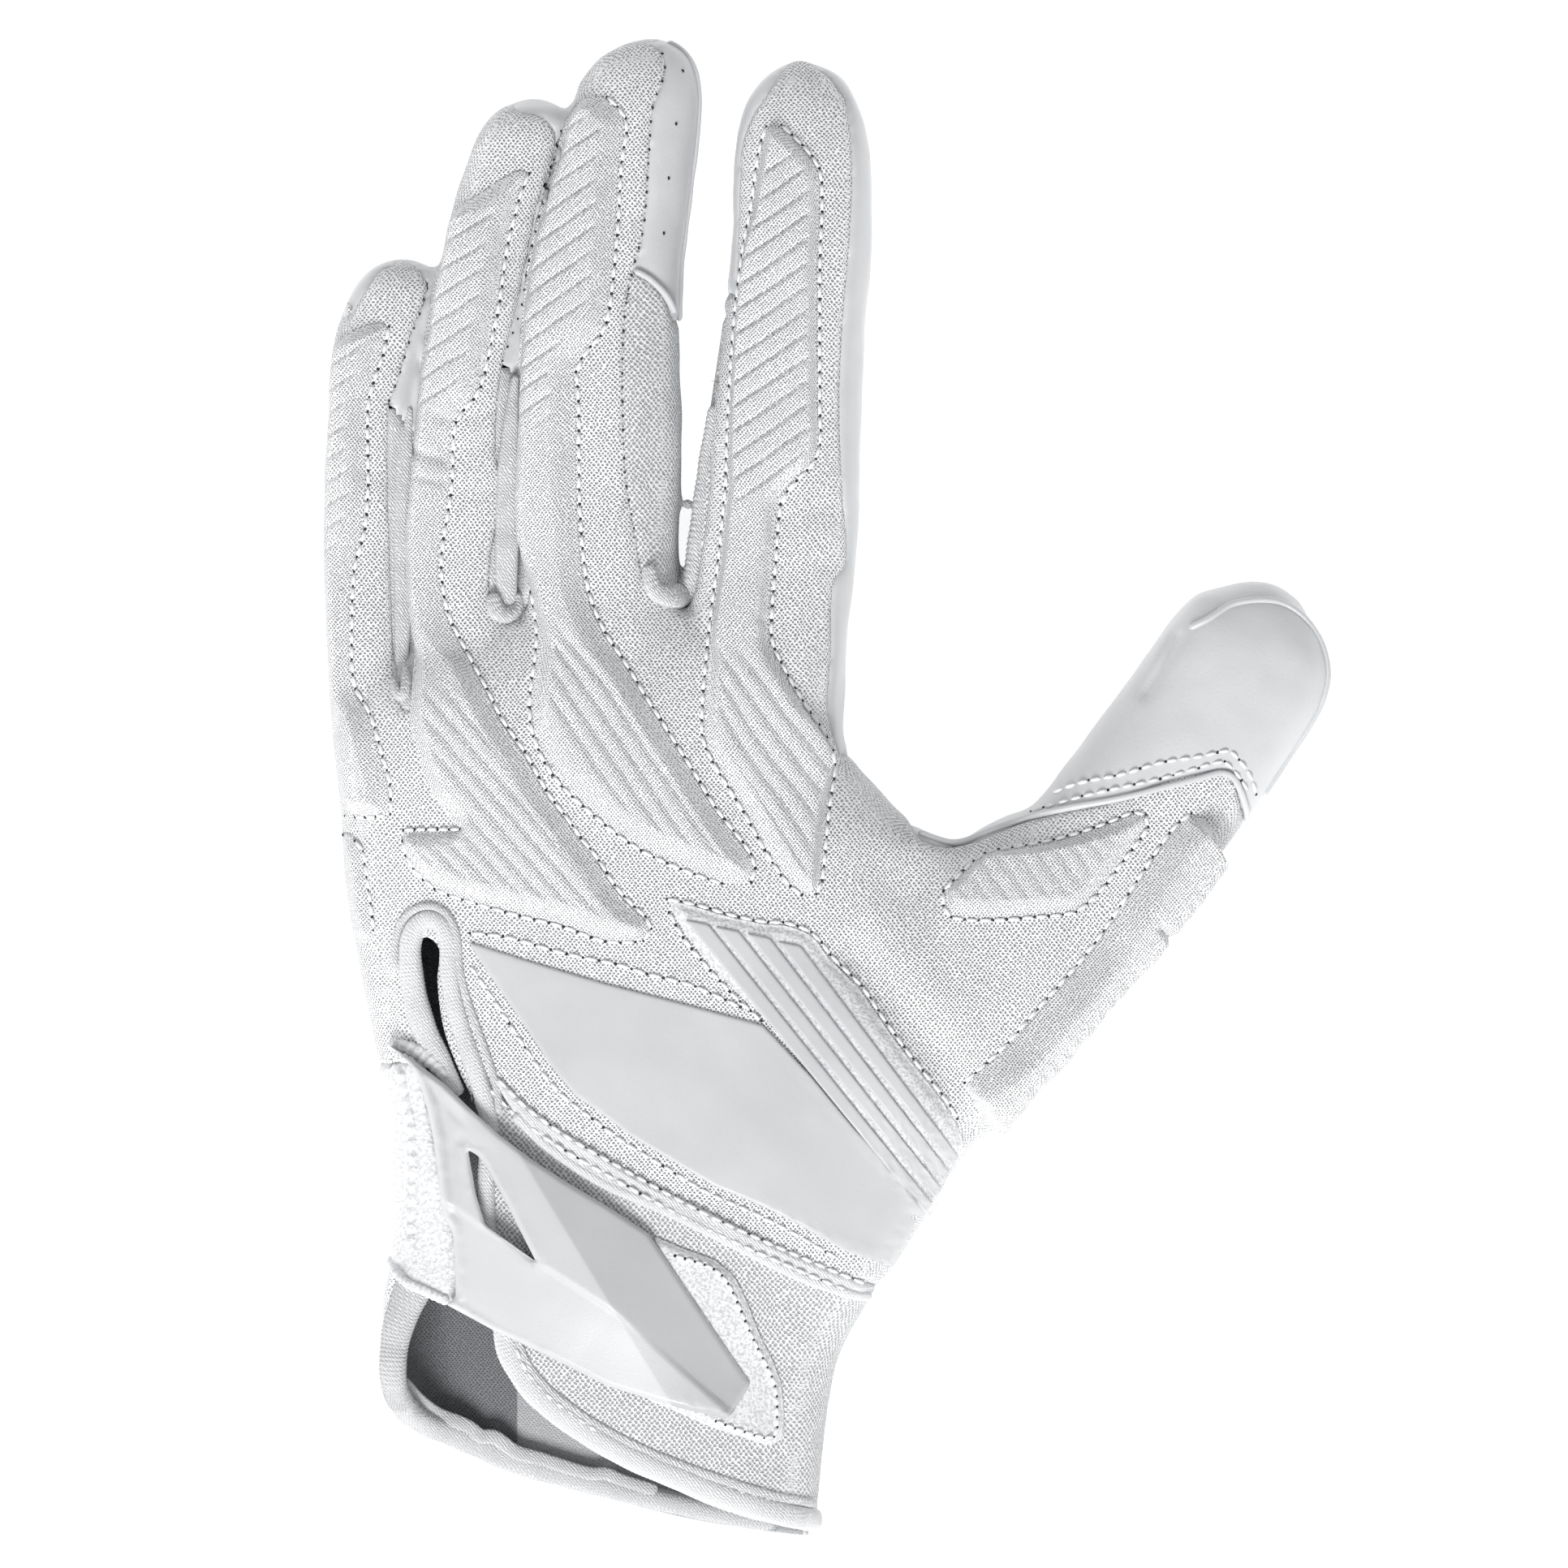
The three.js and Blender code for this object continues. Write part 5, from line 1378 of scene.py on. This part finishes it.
rolledEdges = {
    "hem_back_roll": {
        "guide": [(-52.9, -85), (-52.7, -90), (-51.6, -93.4), (-47.8, -98.8), (-41.3, -104),
                  (-33, -108.9), (-23.5, -113), (-15.5, -116.2), (-7, -118.7), (-1.6, -119.9)],
        "wide": 1.9, "thick": 1.35, "sink": 0.25, "finish": ribTape, "standsFor": "back_hem_binding"},
    "hem_back_strip": {
        "guide": [(-50.6, -88), (-50.2, -91.5), (-48.6, -94.9), (-45.9, -98), (-42.5, -100.8),
                  (-38.6, -103.5), (-33.4, -106.4), (-28.2, -108.9), (-21.8, -111.4), (-15.2, -113.7),
                  (-8.8, -115.7), (-2.4, -117)],
        "wide": 0.8, "thick": 0.65, "finish": twill},
    "hem_palm_roll": {
        "guide": [(-67.4, -81.3, 26.8), (-68.9, -84.6, 26), (-70.2, -88, 25.3), (-70.9, -91.5, 24.8),
                  (-71.1, -94.6, 24.5), (-71, -97.2, 23.4), (-70.3, -99.6, 19.6), (-68.5, -102.3, 12.6),
                  (-65.3, -104.4, 7), (-61.3, -106.1, 4), (-56, -108.5, 2.6), (-49.4, -111.2, 2.3),
                  (-42.7, -113.1, 2.3), (-36.1, -114.9, 2.3), (-29.4, -116.5, 2.3), (-22.8, -118, 2.3),
                  (-16, -119.5, 2.3), (-9.4, -120.8, 2.3), (-4.4, -121.4, 2.3)],
        "wide": [3.0, 2.6, 2.2, 2.0, 2.0, 2.1, 2.2, 2.2, 2.0, 1.9, 1.8, 1.8, 1.7, 1.5, 1.3],
        "thick": 1.9, "ribDepth": 0.13, "up": (-0.3, -0.15, 1.0), "finish": hemTape,
        "standsFor": "palm_hem_binding"},
    "hem_palm_frill": {
        "guide": [(-69.4, -97, 16), (-66.6, -100.6, 11), (-63.6, -103, 7.4), (-61, -104, 6),
                  (-58.8, -105, 5.2), (-56.8, -106.6, 4.8), (-55, -106.4, 5), (-53, -107.8, 4.6),
                  (-51, -109.2, 4.2), (-47.4, -110.1, 4), (-42.4, -111.7, 4), (-38.6, -112.7, 4.2),
                  (-36.6, -112.5, 4.3), (-34.4, -113.5, 4), (-28, -115.5, 3.8)],
        "wide": [0.7, 1.2, 1.2, 1.1, 1.0], "thick": 0.4, "ribDepth": 0.03, "up": (-0.1, 0.2, 1.0),
        "finish": hemTape},
    "keyhole_roll": {
        "guide": [(-61, -50.8), (-62.2, -47.8), (-63.7, -44.6), (-65.2, -41.5), (-66.6, -37.8),
                  (-67.6, -33.8), (-68.2, -29.8), (-68.3, -26), (-67.4, -23.2), (-65.3, -21.6),
                  (-63.1, -22.6), (-62, -25.4), (-61.9, -29.3), (-61.2, -34.6), (-59.7, -40),
                  (-57.9, -45.2), (-56.2, -50.5), (-55.2, -55), (-55.6, -62), (-55.8, -69),
                  (-54.8, -77), (-53.3, -85)],
        "wide": [1.9, 2.1, 2.1, 1.9, 1.5, 1.5, 1.6, 1.6, 1.6, 1.5, 1.5, 1.5, 1.6], "thick": 1.5,
        "sink": 0.2, "finish": ribTape, "standsFor": "keyhole_binding"},
    "keyhole_piping": {
        "guide": [(-70.2, -30), (-70.5, -26), (-69.6, -22.4), (-67.4, -20.2), (-64.6, -19.6),
                  (-62, -21), (-60.5, -24.4), (-60.1, -29.3), (-59.2, -33.5), (-57.5, -38.5),
                  (-55.7, -43.5), (-54, -49), (-53.5, -53.5)],
        "wide": 0.6, "thick": 0.7, "sink": -0.25, "ribDepth": 0.0, "finish": twill},
    "tape_piping": {
        "guide": [(-51, -53.4), (-47.2, -57.4), (-42.6, -61), (-36, -65), (-26.7, -69), (-16, -74.2),
                  (-5.4, -79.5), (3.4, -82.6), (6.2, -83)],
        "wide": 0.85, "thick": 0.9, "sink": -0.35, "ribDepth": 0.03, "finish": ribTape},
    "elastic_edge": {
        "guide": [(-73.2, -76.9), (-71.3, -78.2), (-69, -80.8), (-65.7, -82.3), (-61.8, -84)],
        "wide": 0.8, "thick": 0.8, "ribPitch": 1.1, "ribDepth": 0.25, "finish": boucle, "slot": "knit"},
    "keyhole_fuzz": {
        "guide": [(-70.8, -42.3), (-69.2, -42.3), (-66.8, -43.2), (-64, -45.2), (-61.8, -47.6)],
        "wide": [0.8, 1.3, 0.9], "thick": [0.8, 0.9], "sink": -0.9, "ribPitch": 1.4, "ribDepth": 0.25,
        "finish": boucle, "slot": "knit"},
    "elastic_ruffle": {
        "guide": [(-69.6, -46.4), (-68.8, -50.5), (-67.9, -54.5), (-67.6, -61.1), (-67.8, -67.8),
                  (-68, -76)],
        "wide": 0.8, "thick": 0.75, "sink": -0.15, "ribPitch": 2.3, "ribDepth": 0.3, "finish": boucle,
        "slot": "knit"},
    # Rolled twill over the crotches of the fingers
    "web_roll_index_middle": {
        "guide": [(-29.6, 36), (-28.9, 32.4), (-26.9, 30.9), (-24.2, 31), (-22.6, 33.6), (-21.9, 38),
                  (-21.2, 44), (-20.5, 50), (-19.7, 56), (-18.7, 62)],
        "wide": [0.9, 1.7, 2.1, 1.9, 1.5, 1.3, 1.2, 1.1, 0.9, 0.6], "thick": [1.3, 1.4, 1.2, 1.0, 0.8],
        "sink": -0.1, "ribPitch": 0.95, "ribDepth": 0.1, "finish": twill,
        "standsFor": "web_binding_index_middle"},
    "web_roll_middle_ring": {
        "guide": [(-55, 31.4), (-54.5, 28.7), (-52.7, 27.6), (-51, 28.6), (-50.5, 31.5)],
        "wide": [0.9, 1.5, 1.6, 1.3, 0.9], "thick": 1.3, "sink": -0.1, "ribPitch": 0.95, "ribDepth": 0.1,
        "finish": twill, "standsFor": "web_binding_middle_ring"},
    "web_roll_ring_pinky": {
        "guide": [(-70.9, 17.4), (-70.4, 15), (-69.3, 14.4), (-68.8, 16.6), (-68.8, 19.5)],
        "wide": [0.5, 0.9, 0.8, 0.5], "thick": 0.9, "sink": -0.1, "ribPitch": 0.95, "ribDepth": 0.1,
        "finish": twill, "standsFor": "web_binding_ring_pinky"},
    # The gussets between the fingers fold outwards and show as twill strips beside each finger
    "gusset_fold_ring": {
        "guide": [(-51.2, 67, 18), (-51.8, 60, 19.2), (-52.2, 53, 19.8), (-52.4, 45, 20.2),
                  (-52.6, 37, 20.6), (-52.7, 27.6, 19.6)],
        "wide": [0.6, 1.3, 1.9, 2.0, 1.9, 1.6], "thick": [1.6, 1.8, 1.6], "ribPitch": 5.3,
        "ribDepth": 0.02, "up": (0.1, 0.0, 1.0), "finish": twill, "slot": "knit"},
    "gusset_fold_pinky": {
        "guide": [(-68.6, 62, 14), (-69.2, 54, 15), (-69.5, 44, 15.6), (-69.6, 34, 16.2),
                  (-69.7, 26, 17.2), (-69.8, 17, 19)],
        "wide": [0.6, 1.5, 1.7, 1.6, 1.4, 1.0], "thick": [1.6, 1.8, 1.6], "ribPitch": 5.3,
        "ribDepth": 0.02, "up": (0.1, 0.0, 1.0), "finish": twill, "slot": "knit"},
    # Leather folded over or piped where the palm meets the back
    "thumb_leather_edge": {
        "guide": [(14.6, -7.6), (17.1, -8.6), (21.1, -9.4), (26.4, -7.4), (33, -5.1), (39.6, -3.6),
                  (47.6, -2.1), (54.2, -0.4), (60.8, 1.3), (64.1, 2.2), (66, 1.4), (67.3, -1.2),
                  (68.2, -4.2), (68.7, -6.4)],
        "wide": 0.5, "thick": 0.55, "sink": -0.1, "ribDepth": 0.0, "finish": leather,
        "slot": "smooth_leather"},
    "middle_leather_edge": {
        "guide": [(-31.8, 84.1), (-29.4, 82.8), (-26.8, 80.2), (-25.2, 77.2)],
        "wide": 0.5, "thick": 0.6, "sink": -0.15, "ribDepth": 0.0, "finish": leather,
        "slot": "smooth_leather"},
    "tip_piping_middle": {
        "guide": [(-26.5, 121.3, 9), (-23.8, 119.4, 9.5), (-22.3, 116, 10), (-21.9, 110, 10.5),
                  (-22.3, 104, 11), (-23, 97, 11.5), (-23.8, 90, 12), (-24.5, 83, 12.4),
                  (-24.8, 76, 12.6)],
        "wide": 0.55, "thick": 0.55, "ribDepth": 0.0, "finish": leather, "slot": "smooth_leather"},
    "tip_piping_thumb": {
        "guide": [(58.6, 25.9, 19), (62.1, 27.2, 19), (65.5, 28.8, 17), (68.8, 29.3, 16),
                  (72.7, 29.4, 15), (76.1, 28.3, 14.6), (78.7, 26.3, 14.2), (80.3, 23.6, 13.6),
                  (80.9, 20.4, 13.4), (80.4, 16.6, 13.2), (78.6, 12, 13), (76, 7.2, 12.6),
                  (73, 2.6, 12.6), (70.6, -1.4, 12.8)],
        "wide": 0.55, "thick": 0.55, "ribDepth": 0.0, "finish": leather, "slot": "smooth_leather"},
}
rolls = {}
for name, style in rolledEdges.items():
    nodes = [style["standsFor"]] if "standsFor" in style else []
    rolls[name] = finishPiece(sweepRoll(name, style), style["finish"], nodes)

print("edges rolled")


# Stitches: one run of thread between two needle holes, copied along the seams

stitchStyle = {
    "pitch": 2.65, "width": 0.3, "height": 0.3, "hole": 0.29,
    "lift": 0.2,  # how far a thread stands over the cloth
    "gap": 0.12,  # the share of the pitch between a thread's end and its hole
    "longest": 1.6,  # in pitches: no thread crosses a wider gap
}
outerPoints, outerFaces = [], []
for piece in panels + pads + [plate, field, tape, patch, strap, rolls["hem_back_strip"]]:
    start = len(outerPoints)
    coords = np.empty(len(piece.data.vertices) * 3)
    piece.data.vertices.foreach_get("co", coords)
    outerPoints += (coords.reshape(-1, 3) / mm).tolist()
    outerFaces += [[v + start for v in p.vertices] for p in piece.data.polygons]
outerTree = BVHTree.FromPolygons(outerPoints, outerFaces)

threadPoints, threadFaces = [], []
holePoints, holeFaces = [], []


def addStitch(a, b):
    # A short bar that bows up between its ends
    along = (b - a).normalized()
    across = along.cross(Vector((0, 0, 1))).normalized()
    up = across.cross(along)
    start = len(threadPoints)
    stations, sides = 6, 6
    width, height = stitchStyle["width"], stitchStyle["height"]
    for i in range(stations):
        t = i / (stations - 1)
        bow = math.sin(math.pi * t)
        size = 0.45 + 0.55 * math.sqrt(max(0.0, bow))
        centre = a.lerp(b, t) + up * (height * (bow * 0.9 - 0.35))
        for k in range(sides):
            turn = 2 * math.pi * k / sides
            side = across * (math.cos(turn) * width * size)
            threadPoints.append(centre + side + up * (math.sin(turn) * height * size))
    for i in range(stations - 1):
        for k in range(sides):
            p, q = start + i * sides + k, start + i * sides + (k + 1) % sides
            threadFaces.append((p, p + sides, q + sides, q))
    threadFaces.append(tuple(start + k for k in range(sides)))
    threadFaces.append(tuple(start + (stations - 1) * sides + k for k in reversed(range(sides))))


def placeHoleShadow(place, radius):
    # A small low dome of few faces, coloured near black as the painted shadow of a hole
    start = len(holePoints)
    sides = 7
    for ring, (reach, lift) in enumerate(((1.0, 0.02), (0.55, 0.07))):
        for k in range(sides):
            turn = 2 * math.pi * (k + 0.5 * ring) / sides
            holePoints.append((place[0] + radius * reach * math.cos(turn),
                               place[1] + radius * reach * math.sin(turn), place[2] + lift))
    for k in range(sides):
        a, b = start + k, start + (k + 1) % sides
        holeFaces.append((a, b, b + sides, a + sides))
    holeFaces.append(tuple(start + sides + k for k in range(sides)))
    holeFaces.append(tuple(start + k for k in reversed(range(sides))))


def stitchAlong(guide, closed=False, inset=0.0, pitch=stitchStyle["pitch"], holes=1.0, threadShare=1.0):
    # holes and threadShare say how many of the needle holes and threads show
    line = curveThrough(guide, 0.2, closed) if len(guide) < 60 else np.asarray(guide)
    if inset:
        along = np.gradient(line, axis=0)
        along /= np.maximum(np.linalg.norm(along, axis=1, keepdims=True), 1e-9)
        line = line + np.stack([-along[:, 1], along[:, 0]], 1) * inset
    length = np.concatenate([[0], np.cumsum(np.linalg.norm(np.diff(line, axis=0), axis=1))])
    number = max(1, int(round(length[-1] / pitch)))
    marks = np.linspace(0, length[-1], number + 1)
    xs, ys = np.interp(marks, length, line[:, 0]), np.interp(marks, length, line[:, 1])
    spots = []
    for px, py in zip(xs, ys):
        spots.append(Vector((px, py, dropOn(outerTree, px, py)[0])))
    for i, spot in enumerate(spots):
        if spot.z > 1 and random.random() < holes:
            placeHoleShadow(spot, stitchStyle["hole"] * random.uniform(0.75, 1.1))
        if i and spot.z > 1 and spots[i - 1].z > 1 and random.random() < threadShare:
            before = spots[i - 1]
            if (spot - before).length > stitchStyle["longest"] * pitch:
                continue
            middle = dropOn(outerTree, (before.x + spot.x) / 2, (before.y + spot.y) / 2)[0]
            raised = max(0.0, middle - (before.z + spot.z) / 2) + stitchStyle["lift"]
            ends = [before.lerp(spot, t) for t in (stitchStyle["gap"], 1 - stitchStyle["gap"])]
            addStitch(*[end + Vector((0, 0, raised)) for end in ends])


stitchAlong(rightSide(middlePadRows), inset=0.5, pitch=2.4)
stitchAlong([(-17.4, -15.9), (-24, -13.6), (-31.3, -10.1), (-38.2, -4.9), (-44.9, 1.6), (-48.3, 8.7),
             (-48.7, 14.4), (-48, 19.7), (-47.6, 25), (-48.6, 31.6)], pitch=2.4)
stitchAlong(rightSide(ringPadRows), inset=0.5, pitch=2.4)
stitchAlong([(-31.5, -25.4), (-36.6, -25.3), (-43, -23), (-51, -21), (-60, -18.4), (-64.5, -16.6),
             (-68.4, -12.4), (-69.4, -9)], pitch=2.4)
stitchAlong([(-69.3, -7.2), (-66, -7.1), (-60, -7.1)], pitch=2.0)
stitchAlong(rightSide(pinkyPadRows), inset=0.5, pitch=2.4)
stitchAlong([(-80.5, -4.2), (-78.5, -5), (-75, -5.1), (-72.2, -4.8)], pitch=1.8)
stitchAlong(rightSide(indexPadRows), inset=0.5, pitch=2.4)
stitchAlong(leftSide(indexPadRows), inset=-0.5, pitch=2.4)
stitchAlong([(-79.2, -8), (-76.2, -9.9), (-75.5, -13.8), (-74.8, -18.6), (-74.2, -23.5)], pitch=2.2)
stitchAlong(thumbPadLine, closed=True, inset=-0.45, pitch=2.3)
stitchAlong([(59.1, -4.5), (56.6, -6.4), (54, -9.8), (50, -15.8), (42.7, -26.4), (34, -36.3),
             (28.7, -42.3), (22.1, -48.3)], pitch=2.4)
stitchAlong([(-58.4, -24), (-54.5, -24.3), (-50.5, -25.1), (-45.2, -26.7), (-39.9, -28), (-34.6, -29),
             (-29.3, -30.7), (-22.7, -32.3), (-17.4, -34.6), (-14.4, -36)])
stitchAlong([(-57.5, -28.5), (-54, -33.5), (-51, -38), (-48.4, -42), (-45.6, -46), (-42, -50),
             (-38, -53), (-32.6, -57), (-26, -61), (-19.4, -65), (-12.8, -67.9), (-6, -71.3),
             (2, -75.9)], inset=-1.2,
            pitch=2.3, holes=0.3)
stitchAlong([(-26.4, -18.4), (-21.3, -19.4), (-16, -21), (-10.7, -22.1), (-6.8, -22.3), (-3.4, -23.5),
             (-1.8, -24.7), (0.3, -27.6), (5.6, -32.9), (8.2, -36.9), (13.5, -44.2), (18.8, -50.8),
             (20.9, -54.2)],
            pitch=2.4)
stitchAlong([(-26, -20.6), (-23.9, -24.4), (-21.9, -27), (-16.6, -33), (-11, -38.2)], pitch=2.4)
for shift in (0.0, 2.1):
    stitchAlong([(-54, -47.6), (-49.2, -52.3), (-43.3, -56.6), (-36.5, -60.6), (-20, -69.6),
                 (-5.4, -76.3), (6, -81.2)],
                inset=-shift, pitch=2.3, holes=0.4)
stitchAlong([(30.3, -3.5), (35.6, -1.5), (40.9, 0.5), (47.6, 1.8), (54.2, 3.8), (60.8, 4.8),
             (65.5, 5.8), (66.8, 4.4), (68.8, 1.8), (69.8, -1.5), (70.1, -3.5)], pitch=2.2, holes=0.4)
stitchAlong([(33, -4.2), (39.6, -2.2), (46.5, -0.5), (53.1, 0.9), (59.5, 2.7), (64.8, 4), (66.1, 2.5),
             (68.1, -0.2), (69.4, -2.9)], pitch=2.2, holes=0.4)
stitchAlong([(-27.2, 119.6), (-26.8, 117.2), (-27.5, 114.4), (-28.8, 111), (-29.5, 101.8),
             (-30.3, 91.2), (-32.1, 84), (-33.5, 75), (-33.7, 62), (-33.2, 50),
             (-31.8, 42)], threadShare=0.0, pitch=2.3)
stitchAlong([(-43.8, 107), (-44.6, 103.2), (-46.7, 95.2), (-48.9, 85.9), (-50.3, 78), (-53.3, 69.4)],
            threadShare=0.0, pitch=2.4)
stitchAlong([(-65.7, 82), (-66.9, 77.3), (-68.8, 72), (-70.1, 67.4), (-71.9, 62.9)], threadShare=0.0,
            pitch=2.4)
# Air holes in the leather, drawn as dark domes of painted shadow
for px, py in ((-23.9, 116.8), (-25, 108.1), (-26.2, 99.2), (-27, 90.2)):
    placeHoleShadow((px, py, dropOn(outerTree, px, py)[0]), 0.34)  # air holes in the leather
stitchAlong([(-50.9, -91.3), (-49.2, -95.1), (-46.5, -98.4), (-43, -101.3), (-39.1, -104),
             (-33.9, -107.1), (-28.6, -109.6), (-22.1, -112.2), (-15.5, -114.5),
             (-9, -116.5)], pitch=2.2,
            holes=0.4)
stitchAlong([(-25, -76.4), (-19.2, -78.3), (-16.4, -80.9), (-12.6, -89.4), (-8.9, -97.3),
             (-8.5, -102.2), (-8.6, -105.3), (-10, -106.2), (-18.4, -103.3)], pitch=1.7)

threads = newMesh("seam_threads", threadPoints, threadFaces)
finishPiece(threads, thread, [])
# The needle holes are dark domes: painted shadow, not real holes
holeShadowPiece = newMesh("needle_hole_shadows", holePoints, holeFaces, smooth=False)
finishPiece(holeShadowPiece, needleShadow, [])
print("stitches", len(threadFaces), "thread faces")
triangles = 0
for obj in bpy.context.scene.objects:
    if obj.type == "MESH" and obj.users and len(obj.data.polygons) > 50:
        triangles += sum(len(p.vertices) - 2 for p in obj.data.polygons)
print("triangles in all", triangles)
